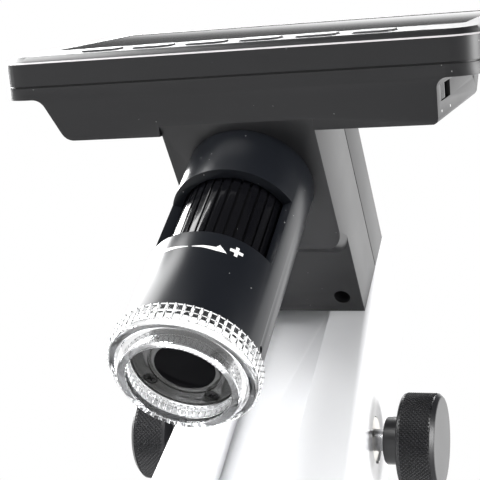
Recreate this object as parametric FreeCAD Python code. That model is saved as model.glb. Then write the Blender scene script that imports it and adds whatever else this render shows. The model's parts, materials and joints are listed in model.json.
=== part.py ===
"""Desk microscope with its own display: base, column with rack lift, head, barrel and tilted monitor.

Millimetres. +Z up, +X to the user's right, +Y away from the user. The origin is the centre of the
footprint, on the table under the rubber feet.
"""

import FreeCAD, Part
import math
import os
from FreeCAD import Placement, Rotation, Vector

# Running and seating clearances
FIT_CLEARANCE = 0.1
RUNNING_CLEARANCE = 0.05
SLIDING_GAP = 0.3
SEAM_GAP = 0.5

# Base
BASE_WIDTH = 130.0
BASE_DEPTH = 150.0
BASE_FRONT_RADIUS = 45.0
BASE_REAR_RADIUS = 16.0
BASE_HEIGHT = 16.0
AXIS_FROM_BASE_FRONT = 50.0
BASE_WALL = 2.5
BASE_EDGE_ROUND = 3.0
BASE_PLATE_THICKNESS = 2.0
FOOT_HEIGHT = 2.0
FOOT_RADIUS = 6.0
FOOT_SEAT_DEPTH = 0.8
FOOT_INSET = 17.0
PLATE_SINK = 1.0
PLATE_SCREW_LENGTH = 8.0
FLAT_HEAD_HEIGHT = 0.9
COLUMN_SCREW_BITE = 4.0
COLUMN_BOSS_HEIGHT = 10.0
STAGE_RADIUS = 30.0
STAGE_THICKNESS = 2.6
STAGE_CHAMFER = 0.4

# Column
COLUMN_DEPTH = 43.0
COLUMN_HEIGHT = 176.0
COLUMN_TOP_HALF = 19.9
COLUMN_FOOT_HALF = 33.6
COLUMN_WALL = 2.5
COLUMN_EDGE_ROUND = 3.0
COLUMN_TOP_ROUND = 8.0
REAR_COVER_DEPTH = 9.0
CHANNEL_WIDTH = 20.0
CHANNEL_DEPTH = 5.5
CHANNEL_LIP = 2.0
CHANNEL_TOP_MARGIN = 5.0
COVER_SCREW_INSET = 22.0
COVER_SCREW_LENGTH = 12.0
COVER_SINK = 1.0
COVER_RIB_DEPTH = 14.0
BOSS_RADIUS = 3.2

# Lift: bar, rack, pinion, shaft and knobs
LIFT_TRAVEL = 45.0
BAR_WIDTH = 25.0
BAR_THICKNESS = 5.5
BAR_ABOVE_HEAD_FLOOR = 31.0
BAR_LENGTH = 111.0
RACK_WIDTH = 10.0
RACK_LENGTH = 66.0
GEAR_MODULE = 0.8
GEAR_TEETH = 16
GEAR_WIDTH = 10.5
GEAR_HUB_WALL = 1.6
GEAR_HUB_LENGTH = 4.0
PRESSURE_ANGLE = 20.0
BACKLASH = 0.2
SHAFT_RADIUS = 3.0
SHAFT_BELOW_HEAD = 24.0
BUSH_RADIUS = 5.0
BUSH_FLANGE_RADIUS = 6.2
BUSH_FLANGE = 1.0
BUSH_LENGTH = 6.0
BUSH_BOSS_RADIUS = 8.0
KNOB_RECESS_RADIUS = 6.4
KNOB_RADIUS = 13.1
KNOB_LENGTH = 10.2
KNOB_HUB_RADIUS = 6.45
KNOB_HUB_LENGTH = 4.8
KNOB_GAP = 3.4
KNOB_CHAMFER = 1.1
KNOB_BORE_DEPTH = 11.0
GUIDE_DEPTH = 9.5
GUIDE_WALL = 1.8
GUIDE_LENGTH = 128.0
GUIDE_SCREW_INSET = 14.0
GUIDE_SINK = 2.0

# Head block: the box that joins bar, barrel and monitor
HEAD_FLOOR_HEIGHT = 156.0
HEAD_WIDTH = 40.1
HEAD_HEIGHT = 36.3
HEAD_SEAM_HEIGHT = 23.3
HEAD_WALL = 2.5
HEAD_STEP_HEIGHT = 5.1
HEAD_STEP_BEHIND_AXIS = 23.6
HEAD_STEP_CORNER = 4.0
HEAD_STEP_RUN = 5.9
HEAD_FRONT_BEFORE_AXIS = 18.8
HEAD_TOP_ROUND = 0.8
AXIS_TO_COLUMN = 52.1
HEAD_SCREW_X = 14.5
HEAD_SCREW_BEFORE_COLUMN = 5.7
HEAD_SCREW_SINK = 7.0
HEAD_SCREW_BITE = 7.0
HEAD_POST = 3.0
HEAD_LIP = 1.2
HEAD_LIP_DEPTH = 1.5
TONGUE_FOOT_HEIGHT = 13.0
TONGUE_SCREW_X = 7.3
TONGUE_SCREW_SINK = 2.0
TONGUE_SCREW_BITE = 6.0
SCREW_RADIUS = 1.25
SCREW_HEAD_RADIUS = 2.2
SCREW_HEAD_HEIGHT = 1.6
PILOT_RADIUS = SCREW_RADIUS + FIT_CLEARANCE
SINK_RADIUS = SCREW_HEAD_RADIUS + FIT_CLEARANCE

# Barrel
BARREL_RADIUS = 16.5
BARREL_WALL = 2.6
BARREL_LENGTH = 64.6
BARREL_TOP_WALL = 2.5
BARREL_NECK_RADIUS = 12.4
BARREL_NECK_WALL = 2.4
BARREL_NUT_RADIUS = 13.3
BARREL_NUT = 2.0
WINDOW_TOP = 15.4
WINDOW_BOTTOM = 37.8
WINDOW_HALF_ANGLE = 70.0
RING_RADIUS = 13.5
RING_BORE = 10.0
RING_OVERLAP = 1.6
RING_RIBS = 36
RING_RIB_DEPTH = 0.45
COLLAR_THICKNESS = 1.5
CARRIER_WALL = 1.6
CARRIER_LENGTH = 33.0
FOCUS_TRAVEL = 4.0
LENS_RADIUS = 7.0
LENS_THICKNESS = 3.0
GLASS_THICKNESS = 0.8
GLASS_SEAT = 0.8
DIFFUSER_THICKNESS = 2.2
DIFFUSER_GROOVE = 0.35
LED_BOARD_THICKNESS = 1.2
LED_COUNT = 8
LED_CIRCLE = 10.4
LED_SIZE = 2.2
LED_HEIGHT = 0.9
LED_GAP = 0.3
NOSE_SCREWS = 4
NOSE_SCREW_CIRCLE = 10.2
NOSE_SCREW_TURN = 67.0
NOSE_SCREW_RADIUS = 0.8
NOSE_SCREW_HEAD = 1.5
NOSE_SCREW_HEAD_HEIGHT = 0.7
NOSE_SINK = 0.8
SENSOR_BOARD_RADIUS = 12.4
SENSOR_BOARD_THICKNESS = 1.4
SENSOR_CHIP = 9.0
SENSOR_CHIP_HEIGHT = 1.2
BARREL_LEDGE = 1.6
BARREL_HOLE_RADIUS = 0.8
BARREL_HOLE_ABOVE_END = 5.6

# Clear cap over the barrel's end
CAP_OVER_BARREL = 2.7
CAP_PAST_BARREL = 5.8
CAP_RING_HEIGHT = 4.4
CAP_RIB_PAST_BARREL = 1.2
CAP_RIBS = 56
CAP_RIB_DEPTH = 0.6
CAP_RIB_WIDTH = 0.7
CAP_SKIRT_INSIDE_BARREL = 1.1
CAP_RIM_INSIDE_BARREL = 2.55
CAP_SHOULDER = 1.3
CAP_WALL = 1.9

# Monitor, built lying in its own frame: x right, v up the display, n towards the viewer
TILT = 60.75
MONITOR_WIDTH = 126.8
MONITOR_OFFSET = 1.5
MONITOR_HEIGHT = 82.0
MONITOR_CORNER = 9.0
BEZEL_EDGE = 17.5
BEZEL_FACE = 19.4
BEZEL_INSET = 2.4
BEZEL_EDGE_ROUND = 0.35
BEZEL_SEAM = 11.6
MONITOR_BACK = 8.3
BULGE_BACK = 2.7
MONITOR_WALL = 2.0
FACE_THICKNESS = 1.6
SEAM_LIP = 1.2
BULGE_LEFT_MARGIN = 21.1
BULGE_LEFT_SLOPE = 60.0
BULGE_RIGHT_MARGIN = 11.1
BULGE_FILLET = 2.5
BULGE_TOP_START = 59.0
BULGE_TOP_END = 72.0
BULGE_EDGE_ROUND = 1.4
SEAT_FLOOR = 2.0
SEAT_GAP = 0.4
WINDOW_SIDE_MARGIN = 14.4
WINDOW_HEIGHT = 54.0
WINDOW_FOOT = 22.5
GLASS_MARGIN = 7.1
GLASS_MARGIN_FOOT = 1.0
GLASS_MARGIN_TOP = 0.6
GLASS_CORNER = 1.5
GLASS_RECESS = 0.9
DISPLAY_GLASS = 0.8
LCD_SIDE_MARGIN = 11.4
LCD_HEIGHT = 57.0
LCD_THICKNESS = 3.0
LCD_VIEW_GAP = 0.5
PAD_WIDTH = 4.0
PAD_INSET = 2.0
MAIN_BOARD_THICKNESS = 1.4
MAIN_BOARD_FOOT = 20.0
MAIN_BOARD_SIDE_GAP = 1.6
CHIP_HEIGHT = 1.2
BUTTON_COUNT = 6
BUTTON_PITCH = 14.5
BUTTON_V = 9.7
BUTTON_LENGTH = 10.3
BUTTON_WIDTH = 8.0
BUTTON_CORNER = 2.6
BUTTON_PROUD = 0.5
BUTTON_GAP = 0.3
BUTTON_FLANGE = 0.7
BUTTON_FLANGE_MARGIN = 1.0
BUTTON_STEM = 0.8
BUTTON_STEM_RADIUS = 1.0
BUTTON_EDGE_ROUND = 0.15
BUTTON_TRAVEL = 0.4
KEY_BOARD_THICKNESS = 1.2
KEY_BOARD_HALF = 5.5
KEY_POST_RADIUS = 1.8
KEY_SWITCH_HEIGHT = 1.4
KEY_SWITCH_SIDE = 4.5
KEY_SWITCH_GAP = 0.4
KEY_STUD_RADIUS = 1.1
KEY_STUD_HEIGHT = 0.3
KEY_SCREW_LENGTH = 3.5
SWITCH_SLOT_FOOT = 5.0
SWITCH_SLOT_LENGTH = 13.0
SWITCH_SLOT_LOW = 2.2
SWITCH_SLOT_HEIGHT = 4.0
SWITCH_SLIDER_LENGTH = 6.2
SWITCH_SLIDER_SUNK = 0.2
SWITCH_GROOVES = 3
SWITCH_FLANGE_ROOM = 1.3
SWITCH_DEPTH = 5.0
SWITCH_END = 2.0
SWITCH_SIDE = 1.0
BATTERY_WIDTH = 56.0
BATTERY_HEIGHT = 40.0
BATTERY_THICKNESS = 5.5
BATTERY_FOOT = 4.5
BATTERY_CORNER = 2.0
BATTERY_PAD_INSET = 10.0
BATTERY_GAP = 0.1
USB_V = 30.0
USB_WIDTH = 7.6
USB_HEIGHT = 2.6
USB_DEPTH = 5.6
CARD_V = 50.0
CARD_WIDTH = 13.0
CARD_HEIGHT = 1.9
CARD_DEPTH = 14.0
CARD_SLOT_WIDTH = 11.6
CARD_SLOT_HEIGHT = 1.2
CARD_LIFT = 0.3
SOCKET_GAP = 0.1
SOCKET_SKIN = 0.4
HOUSING_BOSS_RADIUS = 3.0
HOUSING_SCREW_INSET = 6.6
HOUSING_SINK = 1.8
MOUNT_SCREW_LENGTH = 8.0
MOUNT_BOSS_DEPTH = 9.5
HEAD_MOUNT_X = 13.0
HEAD_MOUNT_LOW = 9.0
HEAD_MOUNT_HIGH = 31.0
RESET_HOLE_V = 55.0
RESET_HOLE_RADIUS = 0.6

# Places worked out from the sizes
BASE_TOP = FOOT_HEIGHT + BASE_HEIGHT
AXIS_Y = AXIS_FROM_BASE_FRONT - BASE_DEPTH / 2
COLUMN_FRONT = AXIS_Y + AXIS_TO_COLUMN
COLUMN_REAR = COLUMN_FRONT + COLUMN_DEPTH
COLUMN_TOP = BASE_TOP + COLUMN_HEIGHT
COVER_FRONT = COLUMN_REAR - REAR_COVER_DEPTH
BAR_FRONT = COLUMN_FRONT + CHANNEL_DEPTH + SLIDING_GAP
BAR_REAR = BAR_FRONT + BAR_THICKNESS
BAR_TOP = HEAD_FLOOR_HEIGHT + BAR_ABOVE_HEAD_FLOOR
BAR_FOOT = BAR_TOP - BAR_LENGTH
SHAFT_Z = HEAD_FLOOR_HEIGHT - SHAFT_BELOW_HEAD
PITCH_RADIUS = GEAR_MODULE * GEAR_TEETH / 2
RACK_ROOT = BAR_REAR + 1.5
RACK_PITCH_LINE = RACK_ROOT + 1.25 * GEAR_MODULE
SHAFT_Y = RACK_PITCH_LINE + PITCH_RADIUS
HEAD_HALF = HEAD_WIDTH / 2
HEAD_TOP = HEAD_FLOOR_HEIGHT + HEAD_HEIGHT
HEAD_SEAM = HEAD_FLOOR_HEIGHT + HEAD_SEAM_HEIGHT
HEAD_REAR = COLUMN_FRONT - SLIDING_GAP
HEAD_STEP_Y = AXIS_Y + HEAD_STEP_BEHIND_AXIS
BARREL_BORE = BARREL_RADIUS - BARREL_WALL
LED_BOARD_DEPTH = BARREL_LENGTH - DIFFUSER_THICKNESS - LED_HEIGHT - LED_BOARD_THICKNESS - LED_GAP
CAP_TOP = BARREL_LENGTH - CAP_OVER_BARREL
CAP_END = BARREL_LENGTH + CAP_PAST_BARREL
CAP_RIB_RADIUS = BARREL_RADIUS + CAP_RIB_PAST_BARREL
CAP_SKIRT_RADIUS = BARREL_RADIUS - CAP_SKIRT_INSIDE_BARREL
CAP_RIM_RADIUS = BARREL_RADIUS - CAP_RIM_INSIDE_BARREL
FACE_BACK = BEZEL_FACE - FACE_THICKNESS
MONITOR_HALF = MONITOR_WIDTH / 2
BULGE_LEFT_FOOT = MONITOR_HALF - BULGE_LEFT_MARGIN
BULGE_RIGHT = MONITOR_HALF - BULGE_RIGHT_MARGIN
WINDOW_WIDTH = MONITOR_WIDTH - 2 * WINDOW_SIDE_MARGIN
LCD_WIDTH = MONITOR_WIDTH - 2 * LCD_SIDE_MARGIN
BOARD_BACK = MONITOR_BACK + MONITOR_WALL
BOARD_FRONT = BOARD_BACK + MAIN_BOARD_THICKNESS
MONITOR_PLACE = Placement(
    Vector(-MONITOR_OFFSET, AXIS_Y - HEAD_FRONT_BEFORE_AXIS, HEAD_FLOOR_HEIGHT),
    Rotation(Vector(1, 0, 0), TILT),
)


def box(low, high):
    """A block between two corners."""
    size = Vector(*high) - Vector(*low)
    return Part.makeBox(size.x, size.y, size.z, Vector(*low))


def rod(radius, start, end):
    """A round bar between two points."""
    start = Vector(*start)
    run = Vector(*end) - start
    return Part.makeCylinder(radius, run.Length, start, run)


def tube(outer, inner, start, end):
    """A round bar with a bore right through it."""
    return rod(outer, start, end).cut(rod(inner, start, end))


def prism(points, run):
    """A flat polygon pushed along a vector."""
    corners = [Vector(*p) for p in points]
    return Part.Face(Part.makePolygon(corners + corners[:1])).extrude(Vector(*run))


def rounded_outline(x0, y0, x1, y1, radii, z):
    """A rectangle with a radius at each corner, from the low left corner counter-clockwise."""
    r0, r1, r2, r3 = radii
    corners = [
        (x0, y0, r0, 180.0),
        (x1, y0, r1, 270.0),
        (x1, y1, r2, 0.0),
        (x0, y1, r3, 90.0),
    ]
    arcs = []
    for x, y, r, start in corners:
        centre = Vector(x + (r if x == x0 else -r), y + (r if y == y0 else -r), z)
        arcs.append(Part.makeCircle(r, centre, Vector(0, 0, 1), start, start + 90))
    edges = []
    for index, arc in enumerate(arcs):
        follower = arcs[(index + 1) % len(arcs)]
        edges.append(arc)
        gap = follower.Vertexes[0].Point - arc.Vertexes[-1].Point
        if gap.Length > 1e-6:
            edges.append(Part.makeLine(arc.Vertexes[-1].Point, follower.Vertexes[0].Point))
    return Part.Wire(edges)


def rounded_slab(x0, y0, x1, y1, radius, z0, z1):
    """A plate with round corners."""
    wire = rounded_outline(x0, y0, x1, y1, (radius,) * 4, z0)
    return Part.Face(wire).extrude(Vector(0, 0, z1 - z0))


def button_slab(x, margin, z0, z1):
    """The buttons' outline as a plate, grown by a margin."""
    half = BUTTON_LENGTH / 2 + margin
    deep = BUTTON_WIDTH / 2 + margin
    return rounded_slab(
        x - half, BUTTON_V - deep, x + half, BUTTON_V + deep, BUTTON_CORNER + margin, z0, z1
    )


def screw(head_point, direction, length, radius=SCREW_RADIUS, head=SCREW_HEAD_RADIUS,
          head_height=SCREW_HEAD_HEIGHT):
    """A pan-head screw with a cross recess; head_point is under the head."""
    way = Vector(*direction).normalize()
    seat = Vector(*head_point)
    cap = Part.makeCylinder(head, head_height, seat, -way)
    shank = Part.makeCylinder(radius, length, seat, way)
    body = cap.fuse(shank)
    across = way.cross(Vector(1, 0, 0))
    if across.Length < 0.5:
        across = way.cross(Vector(0, 1, 0))
    across.normalize()
    depth = head_height * 0.6
    top = seat - way * head_height
    for arm in (across, way.cross(across)):
        slot = Part.makeBox(head * 1.3, head * 0.28, depth + 1)
        slot.translate(Vector(-head * 0.65, -head * 0.14, -1))
        slot.Placement = Placement(top, Rotation(arm, way.cross(arm), way, "XYZ")) * slot.Placement
        body = body.cut(slot)
    return body


def edges_where(shape, test):
    """The edges whose bounding box passes a test."""
    return [edge for edge in shape.Edges if test(edge.BoundBox)]


def tilted(shape):
    """The same shape, moved from the monitor's own frame to its place on the head."""
    moved = shape.copy()
    moved.Placement = MONITOR_PLACE.multiply(moved.Placement)
    return moved


def group(shapes):
    """Separate solids kept side by side in one sub-part."""
    return Part.makeCompound(shapes)


def mirrored(shape):
    """The same shape on the other side of the middle plane."""
    return shape.mirror(Vector(0, 0, 0), Vector(1, 0, 0))


def column_half_width(z):
    """Half the column's width at a height: it widens evenly towards its foot."""
    share = (COLUMN_TOP - z) / COLUMN_HEIGHT
    return COLUMN_TOP_HALF + share * (COLUMN_FOOT_HALF - COLUMN_TOP_HALF)


def column_block(y0, y1, z0, z1, inset):
    """A tapered block inside the column's outer form, set in by a wall."""
    low = column_half_width(z0) - inset
    high = column_half_width(z1) - inset
    return prism([(-low, y0, z0), (low, y0, z0), (high, y0, z1), (-high, y0, z1)], (0, y1 - y0, 0))


def cover_screw_points():
    """Where the column's back is screwed on, as x and z."""
    return [
        (side * (column_half_width(z) - COLUMN_WALL - 1.5 * BOSS_RADIUS), z)
        for z in (BASE_TOP + COVER_SCREW_INSET, COLUMN_TOP - COVER_SCREW_INSET)
        for side in (-1, 1)
    ]


def column_screw_points():
    """Where screws come up through the base into the column's foot."""
    return [
        (side * (COLUMN_FOOT_HALF - 2.5 * BOSS_RADIUS), y)
        for y in (COLUMN_FRONT + 2.8 * BOSS_RADIUS, COVER_FRONT - 2.2 * BOSS_RADIUS)
        for side in (-1, 1)
    ]


def make_base_shell():
    """Moulded base: an open tray turned over, with a round seat for the stage plate."""
    half = BASE_WIDTH / 2
    radii = (BASE_FRONT_RADIUS, BASE_FRONT_RADIUS, BASE_REAR_RADIUS, BASE_REAR_RADIUS)
    foot = FOOT_HEIGHT
    rim = rounded_outline(-half, -BASE_DEPTH / 2, half, BASE_DEPTH / 2, radii, foot)
    body = Part.Face(rim).extrude(Vector(0, 0, BASE_HEIGHT))
    top_edges = edges_where(body, lambda b: b.ZMin > BASE_TOP - 0.01)
    body = body.makeFillet(BASE_EDGE_ROUND, top_edges)
    inner = [r - BASE_WALL for r in radii]
    inside = rounded_outline(
        -half + BASE_WALL, -BASE_DEPTH / 2 + BASE_WALL,
        half - BASE_WALL, BASE_DEPTH / 2 - BASE_WALL, inner, foot,
    )
    body = body.cut(Part.Face(inside).extrude(Vector(0, 0, BASE_HEIGHT - BASE_WALL)))
    seat_floor = BASE_TOP - STAGE_THICKNESS
    cup = rod(STAGE_RADIUS + BASE_WALL, (0, AXIS_Y, seat_floor - BASE_WALL), (0, AXIS_Y, BASE_TOP - 1))
    body = body.fuse(cup)
    seat = rod(STAGE_RADIUS + FIT_CLEARANCE, (0, AXIS_Y, seat_floor), (0, AXIS_Y, BASE_TOP + 1))
    body = body.cut(seat)
    for x, y in column_screw_points():
        post = rod(BOSS_RADIUS, (x, y, foot + BASE_PLATE_THICKNESS), (x, y, BASE_TOP - 1))
        body = body.fuse(post)
        body = body.cut(rod(PILOT_RADIUS, (x, y, foot), (x, y, BASE_TOP + 1)))
    for x, y in base_corner_points():
        post = rod(BOSS_RADIUS, (x, y, foot + BASE_PLATE_THICKNESS), (x, y, BASE_TOP - 1))
        body = body.fuse(post)
        body = body.cut(rod(SCREW_RADIUS, (x, y, foot), (x, y, BASE_TOP - BASE_WALL)))
    return body.removeSplitter()


def base_corner_points():
    """Where the base plate is screwed to the shell."""
    side = BASE_WIDTH / 2 - BASE_WALL - BOSS_RADIUS - 1.0
    return [
        (s * side, y)
        for y in (AXIS_Y + STAGE_RADIUS / 3, BASE_DEPTH / 2 - BASE_REAR_RADIUS - 2.0)
        for s in (-1, 1)
    ]


def foot_points():
    """Where the rubber feet sit."""
    side = BASE_WIDTH / 2 - FOOT_INSET
    return [
        (s * side, y)
        for y in (-BASE_DEPTH / 2 + FOOT_INSET + 6.0, BASE_DEPTH / 2 - FOOT_INSET)
        for s in (-1, 1)
    ]


def make_base_plate():
    """Steel plate that closes the base and weighs it down."""
    half = BASE_WIDTH / 2 - BASE_WALL - FIT_CLEARANCE
    radii = [r - BASE_WALL - FIT_CLEARANCE for r in
             (BASE_FRONT_RADIUS, BASE_FRONT_RADIUS, BASE_REAR_RADIUS, BASE_REAR_RADIUS)]
    deep = BASE_DEPTH / 2 - BASE_WALL - FIT_CLEARANCE
    rim = rounded_outline(-half, -deep, half, deep, radii, FOOT_HEIGHT)
    body = Part.Face(rim).extrude(Vector(0, 0, BASE_PLATE_THICKNESS))
    for x, y in foot_points():
        seat = rod(FOOT_RADIUS + FIT_CLEARANCE, (x, y, 0), (x, y, FOOT_HEIGHT + FOOT_SEAT_DEPTH))
        body = body.cut(seat)
    for x, y in column_screw_points():
        body = body.cut(rod(PILOT_RADIUS, (x, y, 0), (x, y, BASE_TOP)))
        body = body.cut(rod(SINK_RADIUS, (x, y, 0), (x, y, FOOT_HEIGHT + PLATE_SINK)))
    for x, y in base_corner_points():
        body = body.cut(rod(PILOT_RADIUS, (x, y, 0), (x, y, BASE_TOP)))
        body = body.cut(rod(SINK_RADIUS, (x, y, 0), (x, y, FOOT_HEIGHT + PLATE_SINK)))
    return body


def make_base_screws():
    """Screws that hold the base plate, heads sunk in the plate."""
    seat = FOOT_HEIGHT + PLATE_SINK
    return group([
        screw((x, y, seat), (0, 0, 1), PLATE_SCREW_LENGTH, head_height=FLAT_HEAD_HEIGHT)
        for x, y in base_corner_points()
    ])


def make_column_screws():
    """Screws that come up through plate and base into the column's foot."""
    seat = FOOT_HEIGHT + PLATE_SINK
    return group([
        screw((x, y, seat), (0, 0, 1), BASE_HEIGHT + COLUMN_SCREW_BITE, head_height=FLAT_HEAD_HEIGHT)
        for x, y in column_screw_points()
    ])


def make_feet():
    """Rubber discs, glued in round seats under the plate."""
    return group([
        rod(FOOT_RADIUS, (x, y, 0), (x, y, FOOT_HEIGHT + FOOT_SEAT_DEPTH)) for x, y in foot_points()
    ])


def make_stage_plate():
    """Round plate under the lens, pushed into its seat."""
    disc = rod(STAGE_RADIUS, (0, AXIS_Y, BASE_TOP - STAGE_THICKNESS), (0, AXIS_Y, BASE_TOP))
    return disc.makeChamfer(STAGE_CHAMFER, edges_where(disc, lambda b: b.ZMin > BASE_TOP - 0.01))


def channel_cutter():
    """The open channel down the column's front."""
    half = CHANNEL_WIDTH / 2
    top = COLUMN_TOP - CHANNEL_TOP_MARGIN
    return box((-half, COLUMN_FRONT - 1, BASE_TOP - 1), (half, BAR_FRONT + 1, top))


def make_column_shell():
    """White tapered tower, open at the back, with a channel for the head's tongue."""
    body = column_block(COLUMN_FRONT, COVER_FRONT, BASE_TOP, COLUMN_TOP, 0)
    long_edges = edges_where(
        body, lambda b: b.YMax < COLUMN_FRONT + 0.01 and b.ZLength > COLUMN_HEIGHT / 2
    )
    body = body.makeFillet(COLUMN_EDGE_ROUND, long_edges)
    wall = COLUMN_WALL
    inside = column_block(COLUMN_FRONT + wall, COVER_FRONT + 1, BASE_TOP + wall, COLUMN_TOP - wall, wall)
    body = body.cut(inside)
    half = CHANNEL_WIDTH / 2
    top = COLUMN_TOP - CHANNEL_TOP_MARGIN
    for side in (-1, 1):
        inner = side * half
        outer = side * (half + CHANNEL_LIP)
        lip = box(
            (min(inner, outer), COLUMN_FRONT + 1, BASE_TOP + 1),
            (max(inner, outer), COLUMN_FRONT + CHANNEL_DEPTH, top + CHANNEL_LIP),
        )
        body = body.fuse(lip)
    body = body.cut(channel_cutter())
    body = body.fuse(box(
        (-half - CHANNEL_LIP, COLUMN_FRONT + 1, BASE_TOP),
        (half + CHANNEL_LIP, COLUMN_FRONT + CHANNEL_DEPTH, BASE_TOP + wall),
    ))
    for side in (-1, 1):
        wall_x = column_half_width(SHAFT_Z)
        inner_end = side * (guide_outer_x() + SLIDING_GAP)
        outside = (side * COLUMN_FOOT_HALF, SHAFT_Y, SHAFT_Z)
        boss_end = (side * (wall_x - 1.0), SHAFT_Y, SHAFT_Z)
        body = body.fuse(rod(BUSH_BOSS_RADIUS, (inner_end, SHAFT_Y, SHAFT_Z), boss_end))
        body = body.cut(rod(KNOB_RECESS_RADIUS, (side * knob_seat_x(), SHAFT_Y, SHAFT_Z), outside))
        body = body.cut(rod(BUSH_RADIUS, (0, SHAFT_Y, SHAFT_Z), outside))
    for x, z in cover_screw_points():
        outer = math.copysign(column_half_width(z) - 1.0, x)
        rib_front = COLUMN_FRONT + COVER_RIB_DEPTH
        rib = box(
            (min(x, outer), rib_front, z - BOSS_RADIUS),
            (max(x, outer), COVER_FRONT, z + BOSS_RADIUS),
        )
        body = body.fuse(rib).fuse(rod(BOSS_RADIUS, (x, rib_front, z), (x, COVER_FRONT, z)))
        body = body.cut(rod(SCREW_RADIUS, (x, COVER_FRONT - COVER_SCREW_LENGTH, z), (x, COVER_FRONT + 1, z)))
    for x, y in column_screw_points():
        body = body.fuse(rod(BOSS_RADIUS, (x, y, BASE_TOP + 1), (x, y, BASE_TOP + COLUMN_BOSS_HEIGHT)))
        body = body.cut(rod(SCREW_RADIUS, (x, y, BASE_TOP - 1), (x, y, BASE_TOP + COLUMN_BOSS_HEIGHT - 3)))
    for x, z in guide_screw_points():
        body = body.cut(rod(SCREW_RADIUS, (x, COLUMN_FRONT + COLUMN_WALL / 2, z), (x, COVER_FRONT, z)))
    return body.removeSplitter()


def knob_seat_x():
    """Where the flat seat round the shaft is cut into the sloping side."""
    return column_half_width(SHAFT_Z) - 1.4


def make_rear_cover():
    """White back of the column: a shallow tray with round edges, screwed to the shell."""
    start = COVER_FRONT
    body = column_block(start, COLUMN_REAR, BASE_TOP, COLUMN_TOP, 0)
    rim = edges_where(body, lambda b: b.YMin > COLUMN_REAR - 0.01 and b.ZMax > BASE_TOP + 1)
    body = body.makeFillet(REAR_COVER_DEPTH - COLUMN_WALL, rim)
    inside = column_block(start - 1, COLUMN_REAR - COLUMN_WALL, BASE_TOP + COLUMN_WALL,
                          COLUMN_TOP - COLUMN_WALL, COLUMN_WALL)
    inner_rim = edges_where(inside, lambda b: b.YMin > COLUMN_REAR - COLUMN_WALL - 0.01)
    inside = inside.makeFillet(REAR_COVER_DEPTH - 2 * COLUMN_WALL, inner_rim)
    body = body.cut(inside)
    for x, z in cover_screw_points():
        sink = COLUMN_REAR - COLUMN_WALL - COVER_SINK
        body = body.fuse(rod(BOSS_RADIUS, (x, start, z), (x, sink + COVER_SINK + 0.2, z)))
        body = body.cut(rod(PILOT_RADIUS, (x, start - 1, z), (x, COLUMN_REAR + 1, z)))
        body = body.cut(rod(SINK_RADIUS, (x, sink, z), (x, COLUMN_REAR + 1, z)))
    return body.removeSplitter()


def make_rear_cover_screws():
    """Screws of the column's back."""
    sink = COLUMN_REAR - COLUMN_WALL - COVER_SINK
    return group([screw((x, sink, z), (0, -1, 0), COVER_SCREW_LENGTH) for x, z in cover_screw_points()])


def guide_outer_x():
    """The guides' outer side: beyond the bar's edge by room for a screw head."""
    return BAR_WIDTH / 2 + 2 * SINK_RADIUS + 1.0


def guide_screw_points():
    """Where each guide is screwed to the inside of the column's front wall."""
    foot = guide_foot()
    x = BAR_WIDTH / 2 + SINK_RADIUS + 0.4
    return [(s * x, foot + z) for z in (GUIDE_SCREW_INSET, GUIDE_LENGTH - GUIDE_SCREW_INSET) for s in (-1, 1)]


def guide_foot():
    """Lowest point of the guides."""
    return BAR_FOOT - LIFT_TRAVEL + 3.0


def make_guides():
    """Two slippery plastic guides that hold the lift bar's edges."""
    guides = []
    foot = guide_foot()
    top = foot + GUIDE_LENGTH
    bar_edge = BAR_WIDTH / 2 + FIT_CLEARANCE
    inner = CHANNEL_WIDTH / 2 - 0.6
    outer = guide_outer_x()
    front = COLUMN_FRONT + COLUMN_WALL
    rear = BAR_REAR + FIT_CLEARANCE + GUIDE_WALL
    for side in (-1, 1):
        lip_edge = CHANNEL_WIDTH / 2 + CHANNEL_LIP
        body = box((lip_edge, front, foot), (outer, rear, top))
        body = body.fuse(box((inner, BAR_REAR + FIT_CLEARANCE, foot), (outer, rear, top)))
        groove = box((0, BAR_FRONT - FIT_CLEARANCE, foot - 1), (bar_edge, BAR_REAR + FIT_CLEARANCE, top + 1))
        body = body.cut(groove)
        for x, z in guide_screw_points():
            if x > 0:
                body = body.cut(rod(PILOT_RADIUS, (x, front - 1, z), (x, rear + 1, z)))
                body = body.cut(rod(SINK_RADIUS, (x, rear - GUIDE_SINK, z), (x, rear + 1, z)))
        guides.append(body if side > 0 else mirrored(body))
    return group(guides)


def make_guide_screws():
    """Screws of the two guides."""
    rear = BAR_REAR + FIT_CLEARANCE + GUIDE_WALL - GUIDE_SINK
    length = rear - COLUMN_FRONT - COLUMN_WALL * 0.6
    return group([screw((x, rear, z), (0, -1, 0), length) for x, z in guide_screw_points()])


def make_lift_bar():
    """White bar that shows in the channel and carries the head."""
    half = BAR_WIDTH / 2
    body = box((-half, BAR_FRONT, BAR_FOOT), (half, BAR_REAR, BAR_TOP))
    z = tongue_screw_z()
    for x in (-TONGUE_SCREW_X, TONGUE_SCREW_X):
        body = body.cut(rod(PILOT_RADIUS, (x, BAR_FRONT - 1, z), (x, BAR_REAR + 1, z)))
        body = body.cut(rod(SINK_RADIUS, (x, BAR_REAR - TONGUE_SCREW_SINK, z), (x, BAR_REAR + 1, z)))
    return body


def tongue_screw_z():
    """Height of the two screws that join the bar and the head's tongue."""
    return (HEAD_FLOOR_HEIGHT + TONGUE_FOOT_HEIGHT + HEAD_SEAM) / 2


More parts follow.
